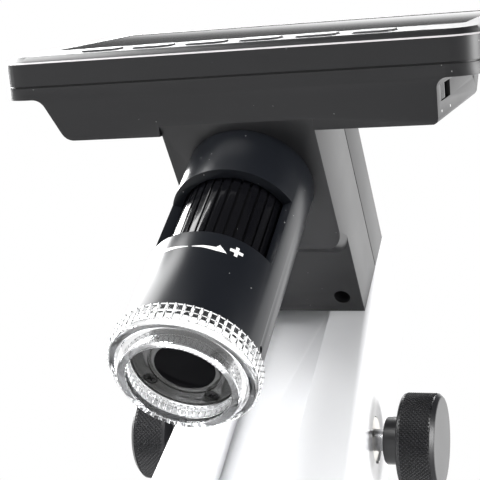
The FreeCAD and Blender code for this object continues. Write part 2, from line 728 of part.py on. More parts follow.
def make_rack():
    """Brass rack bonded to the bar's back, a tooth in line with the shaft at rest."""
    pitch = math.pi * GEAR_MODULE
    addendum = 0.8 * GEAR_MODULE
    dedendum = RACK_PITCH_LINE - RACK_ROOT
    slope = math.tan(math.radians(PRESSURE_ANGLE))
    half_thick = pitch / 4 - BACKLASH / 4
    below = 6
    above = int((RACK_LENGTH - below * pitch) / pitch)
    low = SHAFT_Z - (below + 0.5) * pitch
    high = SHAFT_Z + (above + 0.5) * pitch
    points = [(BAR_REAR, low), (RACK_ROOT, low)]
    for index in range(-below, above + 1):
        middle = SHAFT_Z + index * pitch
        root = half_thick + dedendum * slope
        tip = half_thick - addendum * slope
        points += [
            (RACK_ROOT, middle - root),
            (RACK_PITCH_LINE + addendum, middle - tip),
            (RACK_PITCH_LINE + addendum, middle + tip),
            (RACK_ROOT, middle + root),
        ]
    points += [(RACK_ROOT, high), (BAR_REAR, high)]
    return prism([(-RACK_WIDTH / 2, y, z) for y, z in points], (RACK_WIDTH, 0, 0))


def involute_point(base_radius, radius, offset):
    """A point of a tooth's flank at a radius, turned by an offset angle."""
    roll = math.sqrt(max((radius / base_radius) ** 2 - 1, 0))
    angle = roll - math.atan(roll) - offset
    return radius * math.cos(angle), radius * math.sin(angle)


def make_pinion():
    """Brass gear on the knob shaft, a tooth space facing the rack at rest."""
    base_radius = PITCH_RADIUS * math.cos(math.radians(PRESSURE_ANGLE))
    tip_radius = PITCH_RADIUS + 0.9 * GEAR_MODULE
    root_radius = PITCH_RADIUS - 1.1 * GEAR_MODULE
    involute_at_pitch = math.tan(math.radians(PRESSURE_ANGLE)) - math.radians(PRESSURE_ANGLE)
    half_angle = (math.pi * GEAR_MODULE / 2 - BACKLASH / 2) / 2 / PITCH_RADIUS
    offset = half_angle + involute_at_pitch
    steps = 4
    radii = [base_radius + (tip_radius - base_radius) * i / steps for i in range(steps + 1)]
    flank = [(root_radius * math.cos(-offset), root_radius * math.sin(-offset))]
    flank += [involute_point(base_radius, r, offset) for r in radii]
    tooth = flank + [(a, -b) for a, b in reversed(flank)]
    points = []
    for index in range(GEAR_TEETH):
        turn = 2 * math.pi * (index + 0.5) / GEAR_TEETH
        for a, b in tooth:
            points.append((
                a * math.cos(turn) - b * math.sin(turn),
                a * math.sin(turn) + b * math.cos(turn),
            ))
    x = -GEAR_WIDTH / 2
    gear = prism([(x, SHAFT_Y - a, SHAFT_Z + b) for a, b in points], (GEAR_WIDTH, 0, 0))
    hub_end = GEAR_WIDTH / 2 + GEAR_HUB_LENGTH
    hub = rod(SHAFT_RADIUS + GEAR_HUB_WALL, (GEAR_WIDTH / 2, SHAFT_Y, SHAFT_Z), (hub_end, SHAFT_Y, SHAFT_Z))
    gear = gear.fuse(hub)
    return gear.cut(rod(SHAFT_RADIUS, (x - 1, SHAFT_Y, SHAFT_Z), (hub_end + 1, SHAFT_Y, SHAFT_Z)))


def knob_inner_x():
    """Where the knob's wide body starts."""
    return knob_seat_x() + BUSH_FLANGE + KNOB_GAP + KNOB_HUB_LENGTH


def make_shaft():
    """Steel shaft across the column, from knob to knob."""
    end = knob_inner_x() - KNOB_HUB_LENGTH + KNOB_BORE_DEPTH
    return rod(SHAFT_RADIUS, (-end, SHAFT_Y, SHAFT_Z), (end, SHAFT_Y, SHAFT_Z))


def make_bushes():
    """Flanged bushes pressed into the column's sides from outside."""
    seat = knob_seat_x()
    bushes = []
    for side in (-1, 1):
        flange = rod(BUSH_FLANGE_RADIUS, (side * seat, SHAFT_Y, SHAFT_Z),
                     (side * (seat + BUSH_FLANGE), SHAFT_Y, SHAFT_Z))
        sleeve = rod(BUSH_RADIUS, (side * (seat - BUSH_LENGTH), SHAFT_Y, SHAFT_Z),
                     (side * seat, SHAFT_Y, SHAFT_Z))
        bore = rod(SHAFT_RADIUS + RUNNING_CLEARANCE, (side * (seat - BUSH_LENGTH - 1), SHAFT_Y, SHAFT_Z),
                   (side * (seat + BUSH_FLANGE + 1), SHAFT_Y, SHAFT_Z))
        bushes.append(flange.fuse(sleeve).cut(bore))
    return group(bushes)


def make_knob(side):
    """Turned knob with a narrow hub, bored for the shaft, with a set screw hole in the hub."""
    inner = knob_inner_x()
    hub_start = inner - KNOB_HUB_LENGTH
    outer = inner + KNOB_LENGTH
    body = rod(KNOB_RADIUS, (inner, SHAFT_Y, SHAFT_Z), (outer, SHAFT_Y, SHAFT_Z))
    body = body.makeChamfer(KNOB_CHAMFER, edges_where(body, lambda b: b.XMin > outer - 0.01))
    body = body.makeChamfer(KNOB_CHAMFER / 2, edges_where(body, lambda b: b.XMax < inner + 0.01))
    body = body.fuse(rod(KNOB_HUB_RADIUS, (hub_start, SHAFT_Y, SHAFT_Z), (inner + 1, SHAFT_Y, SHAFT_Z)))
    body = body.cut(rod(SHAFT_RADIUS, (hub_start - 1, SHAFT_Y, SHAFT_Z),
                        (hub_start + KNOB_BORE_DEPTH, SHAFT_Y, SHAFT_Z)))
    return body if side > 0 else mirrored(body)


def head_front_y(z):
    """Y of the head block's sloping front, the plane that the monitor sits on."""
    return AXIS_Y - HEAD_FRONT_BEFORE_AXIS + (z - HEAD_FLOOR_HEIGHT) / math.tan(math.radians(TILT))


def head_wedge(z0, z1, half, front_gap, rear):
    """Part of the head block between two heights, its front on the monitor's plane."""
    return prism(
        [
            (-half, head_front_y(z0) + front_gap, z0),
            (-half, rear, z0),
            (-half, rear, z1),
            (-half, head_front_y(z1) + front_gap, z1),
        ],
        (2 * half, 0, 0),
    )


def head_mount_points():
    """Screw places on the head's sloping front, as x and v of the monitor's frame."""
    return [
        (MONITOR_OFFSET + s * HEAD_MOUNT_X, v)
        for v in (HEAD_MOUNT_LOW, HEAD_MOUNT_HIGH)
        for s in (-1, 1)
    ]


def cut_head_mounts(body):
    """Bores the monitor's screw holes in the head block."""
    for x, v in head_mount_points():
        body = body.cut(tilted(rod(SCREW_RADIUS, (x, v, -MOUNT_SCREW_LENGTH), (x, v, 1.0))))
    return body


def head_screw_y():
    """Y of the two screws that close the head block."""
    return COLUMN_FRONT - HEAD_SCREW_BEFORE_COLUMN


def head_post(side, z0, z1, reach):
    """Solid corner for a block screw, out to the side and rear walls."""
    x = side * HEAD_SCREW_X
    wall_x = side * (HEAD_HALF - 1)
    low_x = min(x - reach, wall_x)
    high_x = max(x + reach, wall_x)
    return box((low_x, head_screw_y() - reach - 1, z0), (high_x, HEAD_REAR - 1, z1))


def make_head_lower():
    """Lower half of the head block, with the barrel's hole and the tongue for the lift bar."""
    floor = HEAD_FLOOR_HEIGHT
    step = floor + HEAD_STEP_HEIGHT
    seam = HEAD_SEAM - SEAM_GAP / 2
    body = head_wedge(step, seam, HEAD_HALF, 0, HEAD_REAR)
    nose = prism(
        [
            (-HEAD_HALF, head_front_y(floor), floor),
            (-HEAD_HALF, HEAD_STEP_Y, floor),
            (-HEAD_HALF, HEAD_STEP_Y + HEAD_STEP_RUN, step),
            (-HEAD_HALF, head_front_y(step), step),
        ],
        (HEAD_WIDTH, 0, 0),
    )
    rear_corners = edges_where(nose, lambda b: b.YMin > HEAD_STEP_Y - 0.01 and b.ZLength > 1)
    body = body.fuse(nose.makeFillet(HEAD_STEP_CORNER, rear_corners))
    wall = HEAD_WALL
    half = HEAD_HALF - wall
    slope_wall = wall / math.sin(math.radians(TILT))
    room = head_wedge(step + wall, seam + 1, half, slope_wall, HEAD_REAR - wall)
    body = body.cut(room)
    low_room = head_wedge(floor + wall, step + wall, half, slope_wall, HEAD_STEP_Y - wall)
    body = body.cut(low_room)
    body = body.cut(barrel_disc(BARREL_NECK_RADIUS + FIT_CLEARANCE, -wall - 1, 1))
    tongue_half = CHANNEL_WIDTH / 2 - SLIDING_GAP
    tongue = box((-tongue_half, HEAD_REAR - wall, floor + TONGUE_FOOT_HEIGHT), (tongue_half, BAR_FRONT, seam))
    body = body.fuse(tongue)
    z = tongue_screw_z()
    for x in (-TONGUE_SCREW_X, TONGUE_SCREW_X):
        bore_end = BAR_REAR - TONGUE_SCREW_SINK - tongue_screw_length() - FIT_CLEARANCE
        body = body.cut(rod(SCREW_RADIUS, (x, bore_end, z), (x, BAR_FRONT + 1, z)))
    for side in (-1, 1):
        x = side * HEAD_SCREW_X
        y = head_screw_y()
        body = body.fuse(head_post(side, step + 1, seam, HEAD_POST))
        body = body.cut(rod(SINK_RADIUS, (x, y, step - 1), (x, y, step + HEAD_SCREW_SINK)))
        body = body.cut(rod(PILOT_RADIUS, (x, y, step), (x, y, seam + 1)))
    for x, v in head_mount_points()[:2]:
        boss = tilted(rod(HOUSING_BOSS_RADIUS, (x, v, -MOUNT_BOSS_DEPTH), (x, v, -0.5)))
        boss = boss.common(head_wedge(floor, seam, HEAD_HALF - 0.5, 0, HEAD_REAR))
        boss = boss.cut(barrel_disc(BARREL_NUT_RADIUS + 0.5, -HEAD_STEP_HEIGHT - wall, -wall))
        body = body.fuse(boss)
    body = cut_head_mounts(body)
    return body.removeSplitter()


def make_head_upper():
    """Upper half of the head block: a lid with sloping front."""
    seam = HEAD_SEAM + SEAM_GAP / 2
    body = head_wedge(seam, HEAD_TOP, HEAD_HALF, 0, HEAD_REAR)
    top_sides = edges_where(
        body, lambda b: b.ZMin > HEAD_TOP - 0.01 and b.YLength > 10
    )
    body = body.makeFillet(HEAD_TOP_ROUND, top_sides)
    wall = HEAD_WALL
    slope_wall = wall / math.sin(math.radians(TILT))
    room = head_wedge(seam - 1, HEAD_TOP - wall, HEAD_HALF - wall, slope_wall, HEAD_REAR - wall)
    body = body.cut(room)
    inside = HEAD_HALF - wall
    lip_foot = seam - SEAM_GAP - HEAD_LIP_DEPTH
    rear = HEAD_REAR - wall
    gap = FIT_CLEARANCE
    lip = head_wedge(lip_foot, seam + 1, inside - gap, slope_wall + gap, rear - gap)
    core = head_wedge(lip_foot - 1, seam + 2, inside - HEAD_LIP, slope_wall + HEAD_LIP, rear - HEAD_LIP)
    lip = lip.cut(core)
    for side in (-1, 1):
        lip = lip.cut(head_post(side, lip_foot - 1, seam, HEAD_POST + 2 * FIT_CLEARANCE))
    for x, v in head_mount_points():
        boss_room = rod(HOUSING_BOSS_RADIUS + gap, (x, v, -MOUNT_BOSS_DEPTH - 2), (x, v, 1))
        lip = lip.cut(tilted(boss_room))
    body = body.fuse(lip)
    for side in (-1, 1):
        x = side * HEAD_SCREW_X
        y = head_screw_y()
        post = head_post(side, seam, HEAD_TOP - 1, HEAD_POST)
        body = body.fuse(post.common(head_wedge(seam, HEAD_TOP, HEAD_HALF - 1, 0, HEAD_REAR - 1)))
        body = body.cut(rod(SCREW_RADIUS, (x, y, seam - 1), (x, y, HEAD_SEAM + HEAD_SCREW_BITE + 1)))
    for x, v in head_mount_points()[2:]:
        boss = tilted(rod(HOUSING_BOSS_RADIUS, (x, v, -MOUNT_BOSS_DEPTH), (x, v, -0.5)))
        boss = boss.common(head_wedge(seam, HEAD_TOP - 0.5, HEAD_HALF - 0.5, 0, HEAD_REAR))
        body = body.fuse(boss)
    body = cut_head_mounts(body)
    return body.removeSplitter()


def make_head_screws():
    """Two long screws that come up from the underside and close the block."""
    seat = HEAD_FLOOR_HEIGHT + HEAD_STEP_HEIGHT + HEAD_SCREW_SINK
    length = HEAD_SEAM + HEAD_SCREW_BITE - seat
    return group([screw((s * HEAD_SCREW_X, head_screw_y(), seat), (0, 0, 1), length) for s in (-1, 1)])


def tongue_screw_length():
    """Length of the screws that join the bar and the tongue."""
    return BAR_THICKNESS - TONGUE_SCREW_SINK + TONGUE_SCREW_BITE


def make_tongue_screws():
    """Screws from the bar's back into the head's tongue."""
    seat = BAR_REAR - TONGUE_SCREW_SINK
    return group([
        screw((x, seat, tongue_screw_z()), (0, -1, 0), tongue_screw_length())
        for x in (-TONGUE_SCREW_X, TONGUE_SCREW_X)
    ])


def level(depth):
    """Height of a point of the barrel that lies this far below the head block's floor."""
    return HEAD_FLOOR_HEIGHT - depth


def barrel_disc(radius, top, bottom):
    """A disc on the barrel's axis between two depths below the block."""
    return rod(radius, (0, AXIS_Y, level(bottom)), (0, AXIS_Y, level(top)))


def barrel_tube(outer, inner, top, bottom):
    """A ring on the barrel's axis between two depths below the block."""
    return barrel_disc(outer, top, bottom).cut(barrel_disc(inner, top - 1, bottom + 1))


def make_barrel():
    """Outer tube with the window that lets a finger reach the focus ring."""
    neck_top = -HEAD_WALL - BARREL_NUT
    body = barrel_disc(BARREL_RADIUS, 0, BARREL_LENGTH)
    body = body.fuse(barrel_disc(BARREL_NECK_RADIUS, neck_top, 1))
    body = body.cut(barrel_disc(BARREL_BORE, BARREL_TOP_WALL, BARREL_LENGTH + 1))
    body = body.cut(barrel_disc(BARREL_NECK_RADIUS - BARREL_NECK_WALL, neck_top - 1, BARREL_TOP_WALL + 1))
    start = -90.0 - WINDOW_HALF_ANGLE
    sector = Part.makeCylinder(
        BARREL_RADIUS + 3, WINDOW_BOTTOM - WINDOW_TOP, Vector(0, AXIS_Y, level(WINDOW_BOTTOM)),
        Vector(0, 0, 1), 2 * WINDOW_HALF_ANGLE,
    )
    sector.rotate(Vector(0, AXIS_Y, 0), Vector(0, 0, 1), start)
    core = barrel_disc(BARREL_BORE - 1, WINDOW_TOP - 1, WINDOW_BOTTOM + 1)
    body = body.cut(sector.cut(core))
    ledge_top = LED_BOARD_DEPTH - BARREL_LEDGE
    ledge = barrel_tube(BARREL_BORE + 1, BARREL_BORE - BARREL_LEDGE, ledge_top, LED_BOARD_DEPTH)
    body = body.fuse(ledge)
    hole_z = level(BARREL_LENGTH - BARREL_HOLE_ABOVE_END)
    hole = rod(BARREL_HOLE_RADIUS, (0, AXIS_Y, hole_z), (BARREL_RADIUS + 2, AXIS_Y, hole_z))
    return body.cut(hole).removeSplitter()


def make_barrel_nut():
    """Ring nut on the barrel's neck, tightened against the head's floor from inside."""
    return barrel_tube(BARREL_NUT_RADIUS, BARREL_NECK_RADIUS, -HEAD_WALL - BARREL_NUT, -HEAD_WALL)


def make_focus_ring():
    """Ribbed ring that shows in the window; turning it moves the lens carrier."""
    top = WINDOW_TOP - RING_OVERLAP
    bottom = WINDOW_BOTTOM + RING_OVERLAP
    body = barrel_disc(RING_RADIUS, top, bottom)
    width = 2 * math.pi * RING_RADIUS / RING_RIBS
    for index in range(RING_RIBS):
        angle = 360.0 * index / RING_RIBS
        groove = box(
            (RING_RADIUS - RING_RIB_DEPTH, -width * 0.14, level(WINDOW_BOTTOM + 0.6)),
            (RING_RADIUS + 1, width * 0.14, level(WINDOW_TOP - 0.6)),
        )
        groove.rotate(Vector(0, 0, 0), Vector(0, 0, 1), angle)
        groove.translate(Vector(0, AXIS_Y, 0))
        body = body.cut(groove)
    return body.cut(barrel_disc(RING_BORE, top - 1, bottom + 1))


def make_collars():
    """Two collars fixed in the barrel's bore, above and below the focus ring."""
    top = WINDOW_TOP - RING_OVERLAP - RUNNING_CLEARANCE * 2
    bottom = WINDOW_BOTTOM + RING_OVERLAP + RUNNING_CLEARANCE * 2
    bore = RING_BORE - RUNNING_CLEARANCE
    return group([
        barrel_tube(BARREL_BORE, bore, top - COLLAR_THICKNESS, top),
        barrel_tube(BARREL_BORE, bore, bottom, bottom + COLLAR_THICKNESS),
    ])


def carrier_foot():
    """Depth of the lens carrier's lower end at rest."""
    return LED_BOARD_DEPTH - BARREL_LEDGE - FOCUS_TRAVEL - 1.2


def make_lens_carrier():
    """Tube that slides in the focus ring and holds the objective."""
    foot = carrier_foot()
    radius = RING_BORE - RUNNING_CLEARANCE * 2
    body = barrel_tube(radius, radius - CARRIER_WALL, foot - CARRIER_LENGTH, foot)
    lens_top = foot - LENS_THICKNESS - 0.2
    seat = barrel_tube(radius - 0.5, LENS_RADIUS - 1.0, lens_top - 2.0, lens_top)
    return body.fuse(seat).removeSplitter()


def make_objective_lens():
    """Glass lens in the carrier's foot, domed below."""
    foot = carrier_foot()
    radius = RING_BORE - RUNNING_CLEARANCE * 2 - CARRIER_WALL
    flat = barrel_disc(radius, foot - LENS_THICKNESS - 0.2, foot - 1.2)
    sphere_radius = 16.0
    centre = level(foot - 1.2) + sphere_radius - 1.0
    dome = Part.makeSphere(sphere_radius, Vector(0, AXIS_Y, centre))
    cut_tall = barrel_disc(radius, foot - LENS_THICKNESS - 0.2, foot + 1)
    return cut_tall.common(dome).common(barrel_disc(radius, foot - LENS_THICKNESS - 0.2, foot)).fuse(
        flat.common(dome)
    ).removeSplitter()


def nose_screw_points():
    """Places of the small screws round the lens."""
    return [
        (
            NOSE_SCREW_CIRCLE * math.cos(math.radians(NOSE_SCREW_TURN + 360.0 * i / NOSE_SCREWS)),
            AXIS_Y + NOSE_SCREW_CIRCLE * math.sin(math.radians(NOSE_SCREW_TURN + 360.0 * i / NOSE_SCREWS)),
        )
        for i in range(NOSE_SCREWS)
    ]


def make_diffuser():
    """Grooved ring round the lens window that spreads the lamps' light."""
    bottom = BARREL_LENGTH
    top = bottom - DIFFUSER_THICKNESS
    outer = BARREL_BORE - FIT_CLEARANCE
    body = barrel_tube(outer, LENS_RADIUS - 1.0, top, bottom)
    body = body.cut(barrel_disc(LENS_RADIUS + FIT_CLEARANCE, bottom - GLASS_SEAT, bottom + 1))
    for radius in (LENS_RADIUS + 1.3, outer - 1.6):
        body = body.cut(barrel_tube(radius + DIFFUSER_GROOVE, radius, bottom - DIFFUSER_GROOVE, bottom + 0.5))
    for x, y in nose_screw_points():
        outside = (x, y, level(bottom + 1))
        body = body.cut(rod(NOSE_SCREW_RADIUS + FIT_CLEARANCE, outside, (x, y, level(top - 1))))
        body = body.cut(rod(NOSE_SCREW_HEAD + 2 * FIT_CLEARANCE, outside, (x, y, level(bottom - NOSE_SINK))))
    return body.removeSplitter()


def make_nose_screws():
    """Small screws of the diffuser, heads in round sinks."""
    seat = level(BARREL_LENGTH - NOSE_SINK)
    length = DIFFUSER_THICKNESS + LED_HEIGHT + LED_BOARD_THICKNESS
    return group([
        screw((x, y, seat), (0, 0, 1), length, NOSE_SCREW_RADIUS, NOSE_SCREW_HEAD, NOSE_SCREW_HEAD_HEIGHT)
        for x, y in nose_screw_points()
    ])


def make_lens_window():
    """Dark glass disc in the middle of the diffuser."""
    bottom = BARREL_LENGTH
    return barrel_disc(LENS_RADIUS, bottom - GLASS_SEAT, bottom + GLASS_THICKNESS - GLASS_SEAT)


def make_led_board():
    """Ring-shaped circuit board on the barrel's ledge."""
    top = LED_BOARD_DEPTH
    body = barrel_tube(BARREL_BORE - FIT_CLEARANCE, LENS_RADIUS + 0.5, top, top + LED_BOARD_THICKNESS)
    for x, y in nose_screw_points():
        body = body.cut(rod(NOSE_SCREW_RADIUS, (x, y, level(top + 3)), (x, y, level(top - 1))))
    return body


def make_leds():
    """White lamps under the board, spread between the screws."""
    top = LED_BOARD_DEPTH + LED_BOARD_THICKNESS
    lamps = []
    for index in range(LED_COUNT):
        angle = NOSE_SCREW_TURN + 360.0 * (index + 0.5) / LED_COUNT
        lamp = box((LED_CIRCLE - LED_SIZE / 2, -LED_SIZE / 2, level(top + LED_HEIGHT)),
                   (LED_CIRCLE + LED_SIZE / 2, LED_SIZE / 2, level(top)))
        lamp.rotate(Vector(0, 0, 0), Vector(0, 0, 1), angle)
        lamp.translate(Vector(0, AXIS_Y, 0))
        lamps.append(lamp)
    return group(lamps)


def make_sensor_board():
    """Round camera board on the barrel's neck, with the image sensor facing down."""
    foot = -HEAD_WALL - BARREL_NUT
    floor = level(foot)
    half = SENSOR_CHIP / 2
    board = barrel_disc(SENSOR_BOARD_RADIUS, foot - SENSOR_BOARD_THICKNESS, foot)
    chip = box((-half, AXIS_Y - half, floor - SENSOR_CHIP_HEIGHT), (half, AXIS_Y + half, floor))
    return board.fuse(chip).removeSplitter()


def make_clear_cap():
    """Clear plastic cap: ribbed ring over the barrel's end, round shoulder and narrow skirt."""
    ring_core = CAP_RIB_RADIUS - CAP_RIB_DEPTH
    ring_end = CAP_TOP + CAP_RING_HEIGHT
    shoulder = ring_end + CAP_SHOULDER
    bore = BARREL_RADIUS + FIT_CLEARANCE
    inner_rim = CAP_RIM_RADIUS - CAP_WALL
    profile = [
        (bore, CAP_TOP),
        (ring_core, CAP_TOP),
        (ring_core, ring_end),
        (ring_core - 0.5, shoulder),
        (CAP_SKIRT_RADIUS, shoulder),
        (CAP_RIM_RADIUS, CAP_END),
        (inner_rim, CAP_END),
        (inner_rim + 0.6, BARREL_LENGTH + 0.3),
        (bore, BARREL_LENGTH + 0.3),
    ]
    points = [Vector(r, AXIS_Y, level(d)) for r, d in profile]
    face = Part.Face(Part.makePolygon(points + points[:1]))
    body = face.revolve(Vector(0, AXIS_Y, 0), Vector(0, 0, 1), 360)
    gap = (CAP_RING_HEIGHT - CAP_RIB_WIDTH) / 2
    band_top = CAP_TOP + gap
    tiers = barrel_tube(CAP_RIB_RADIUS - 0.2, ring_core - 0.2, band_top, band_top + CAP_RIB_WIDTH)
    body = body.fuse(tiers)
    for index in range(CAP_RIBS):
        rib = box((ring_core - 0.3, -CAP_RIB_WIDTH / 2, level(ring_end)),
                  (CAP_RIB_RADIUS, CAP_RIB_WIDTH / 2, level(CAP_TOP)))
        rib.rotate(Vector(0, 0, 0), Vector(0, 0, 1), 360.0 * index / CAP_RIBS)
        rib.translate(Vector(0, AXIS_Y, 0))
        body = body.fuse(rib)
    return body


def monitor_outline(inset, n):
    """The monitor's rounded outline at a height over its back plane, set in by a distance."""
    return rounded_outline(
        -MONITOR_HALF + inset, inset, MONITOR_HALF - inset, MONITOR_HEIGHT - inset,
        (MONITOR_CORNER - inset,) * 4, n,
    )


def monitor_slab(inset, n0, n1):
    """A straight slab of the monitor's outline."""
    return Part.Face(monitor_outline(inset, n0)).extrude(Vector(0, 0, n1 - n0))


def button_places():
    """X of each button."""
    return [(i - (BUTTON_COUNT - 1) / 2) * BUTTON_PITCH for i in range(BUTTON_COUNT)]


def housing_screw_points():
    """Screws that close the monitor, near its corners."""
    return [
        (s * (MONITOR_HALF - HOUSING_SCREW_INSET), v)
        for v in (HOUSING_SCREW_INSET, MONITOR_HEIGHT - HOUSING_SCREW_INSET)
        for s in (-1, 1)
    ]


def socket_cutters():
    """Openings for plug and memory card in the monitor's left edge."""
    wall = MONITOR_WALL + 1
    left = -MONITOR_HALF
    usb_half = USB_WIDTH / 2 + SLIDING_GAP
    usb = box((left - 1, USB_V - usb_half, BOARD_FRONT),
              (left + wall, USB_V + usb_half, BOARD_FRONT + USB_HEIGHT + SLIDING_GAP))
    card_foot = BOARD_FRONT + CARD_LIFT
    card = box((left - 1, CARD_V - CARD_SLOT_WIDTH / 2, card_foot),
               (left + wall, CARD_V + CARD_SLOT_WIDTH / 2, card_foot + CARD_SLOT_HEIGHT))
    return usb.fuse(card)


def make_front_bezel():
    """Front shell: side wall, bevelled rim, face with display opening and button holes."""
    seam = BEZEL_SEAM + SEAM_GAP / 2
    shoulder = BEZEL_EDGE - BEZEL_EDGE_ROUND
    body = monitor_slab(0, seam, shoulder)
    bevel = Part.makeLoft(
        [monitor_outline(0, shoulder), monitor_outline(BEZEL_EDGE_ROUND, BEZEL_EDGE)], True, True
    )
    rim = Part.makeLoft(
        [monitor_outline(BEZEL_EDGE_ROUND, BEZEL_EDGE), monitor_outline(BEZEL_INSET, BEZEL_FACE)], True, True
    )
    body = body.fuse(bevel).fuse(rim)
    body = body.cut(monitor_slab(MONITOR_WALL, seam - 1, FACE_BACK))
    half = WINDOW_WIDTH / 2
    window = box((-half, WINDOW_FOOT, FACE_BACK - 1), (half, WINDOW_FOOT + WINDOW_HEIGHT, BEZEL_FACE + 1))
    body = body.cut(window)
    body = body.cut(glass_plate(FIT_CLEARANCE, BEZEL_FACE - GLASS_RECESS, BEZEL_FACE + 1))
    for x in button_places():
        body = body.cut(button_slab(x, BUTTON_GAP, FACE_BACK - 1, BEZEL_FACE + 1))
    for x, v in housing_screw_points():
        body = body.fuse(rod(HOUSING_BOSS_RADIUS, (x, v, seam + 0.6), (x, v, FACE_BACK + 0.5)))
        body = body.cut(rod(SCREW_RADIUS, (x, v, seam - 1), (x, v, FACE_BACK - 1)))
    for x in key_post_places():
        foot = key_board_front()
        body = body.fuse(rod(KEY_POST_RADIUS, (x, BUTTON_V, foot), (x, BUTTON_V, FACE_BACK + 0.5)))
        body = body.cut(rod(NOSE_SCREW_RADIUS, (x, BUTTON_V, foot - 1), (x, BUTTON_V, FACE_BACK)))
    return tilted(body.cut(socket_cutters()).removeSplitter())


def glass_plate(margin, n0, n1):
    """The display glass's outline, grown by a margin."""
    half = WINDOW_WIDTH / 2 + GLASS_MARGIN + margin
    foot = WINDOW_FOOT - GLASS_MARGIN_FOOT - margin
    top = WINDOW_FOOT + WINDOW_HEIGHT + GLASS_MARGIN_TOP + margin
    return rounded_slab(-half, foot, half, top, GLASS_CORNER, n0, n1)


def make_display_glass():
    """Glossy pane over the display."""
    low = BEZEL_FACE - GLASS_RECESS
    return tilted(glass_plate(0, low, low + DISPLAY_GLASS))


def make_lcd():
    """Display module behind the pane, against the face's inside."""
    half = LCD_WIDTH / 2
    foot = WINDOW_FOOT + WINDOW_HEIGHT / 2 - LCD_HEIGHT / 2
    back = FACE_BACK - LCD_THICKNESS
    body = box((-half, foot, back), (half, foot + LCD_HEIGHT, FACE_BACK))
    view_half = WINDOW_WIDTH / 2 - LCD_VIEW_GAP
    view = box((-view_half, WINDOW_FOOT + LCD_VIEW_GAP, FACE_BACK - 0.1),
               (view_half, WINDOW_FOOT + WINDOW_HEIGHT - LCD_VIEW_GAP, BEZEL_FACE - GLASS_RECESS))
    return tilted(body.fuse(view).removeSplitter())


def bulge_profile(inset):
    """Section across the bulge on the monitor's back: S-shaped left flank, steep right flank."""
    top = MONITOR_BACK + inset
    foot = -BULGE_BACK + inset
    slope = math.radians(BULGE_LEFT_SLOPE)
    run = (top - foot) / math.tan(slope)
    left_foot = -BULGE_LEFT_FOOT + inset
    blend = BULGE_FILLET * 2
    knee = left_foot - blend / 2
    crest = knee - run + inset * 0.3
    right = BULGE_RIGHT - inset
    start = Vector(crest - blend / 2, 0, top)
    bend_top = Vector(crest + blend / 2 * math.cos(slope), 0, top - blend / 2 * math.sin(slope))
    bend_foot = Vector(knee - blend / 2 * math.cos(slope), 0, foot + blend / 2 * math.sin(slope))
    end = Vector(left_foot, 0, foot)
    corner = Vector(right, 0, foot)
    right_top = Vector(right, 0, top)
    return start, bend_top, bend_foot, end, corner, right_top, Vector(crest, 0, top), Vector(knee, 0, foot)


def bulge_body(inset, v0, v1):
    """The bulge as a solid, its flanks as smooth curves."""
    start, bend_top, bend_foot, end, corner, right_top, crest, knee = bulge_profile(inset)
    upper = Part.BezierCurve()
    upper.setPoles([start, crest, bend_top])
    lower = Part.BezierCurve()
    lower.setPoles([bend_foot, knee, end])
    edges = [
        upper.toShape(),
        Part.makeLine(bend_top, bend_foot),
        lower.toShape(),
        Part.makeLine(end, corner),
        Part.makeLine(corner, right_top),
        Part.makeLine(right_top, start),
    ]
    body = Part.Face(Part.Wire(edges)).extrude(Vector(0, v1 - v0, 0))
    body.translate(Vector(0, v0, 0))
    return body


def bulge_solid(inset):
    """The bulge between the monitor's lower edge and its sloping top end."""
    body = bulge_body(inset, inset, BULGE_TOP_END + 5)
    low = -BULGE_BACK + inset
    high = MONITOR_BACK + inset
    wedge = prism(
        [
            (-80, BULGE_TOP_START - inset * 0.8, low),
            (-80, BULGE_TOP_END - inset * 0.8, high + 0.01),
            (-80, BULGE_TOP_END + 20, high + 0.01),
            (-80, BULGE_TOP_END + 20, low - 1),
            (-80, BULGE_TOP_START - inset * 0.8, low - 1),
        ],
        (160, 0, 0),
    )
    return body.cut(wedge)


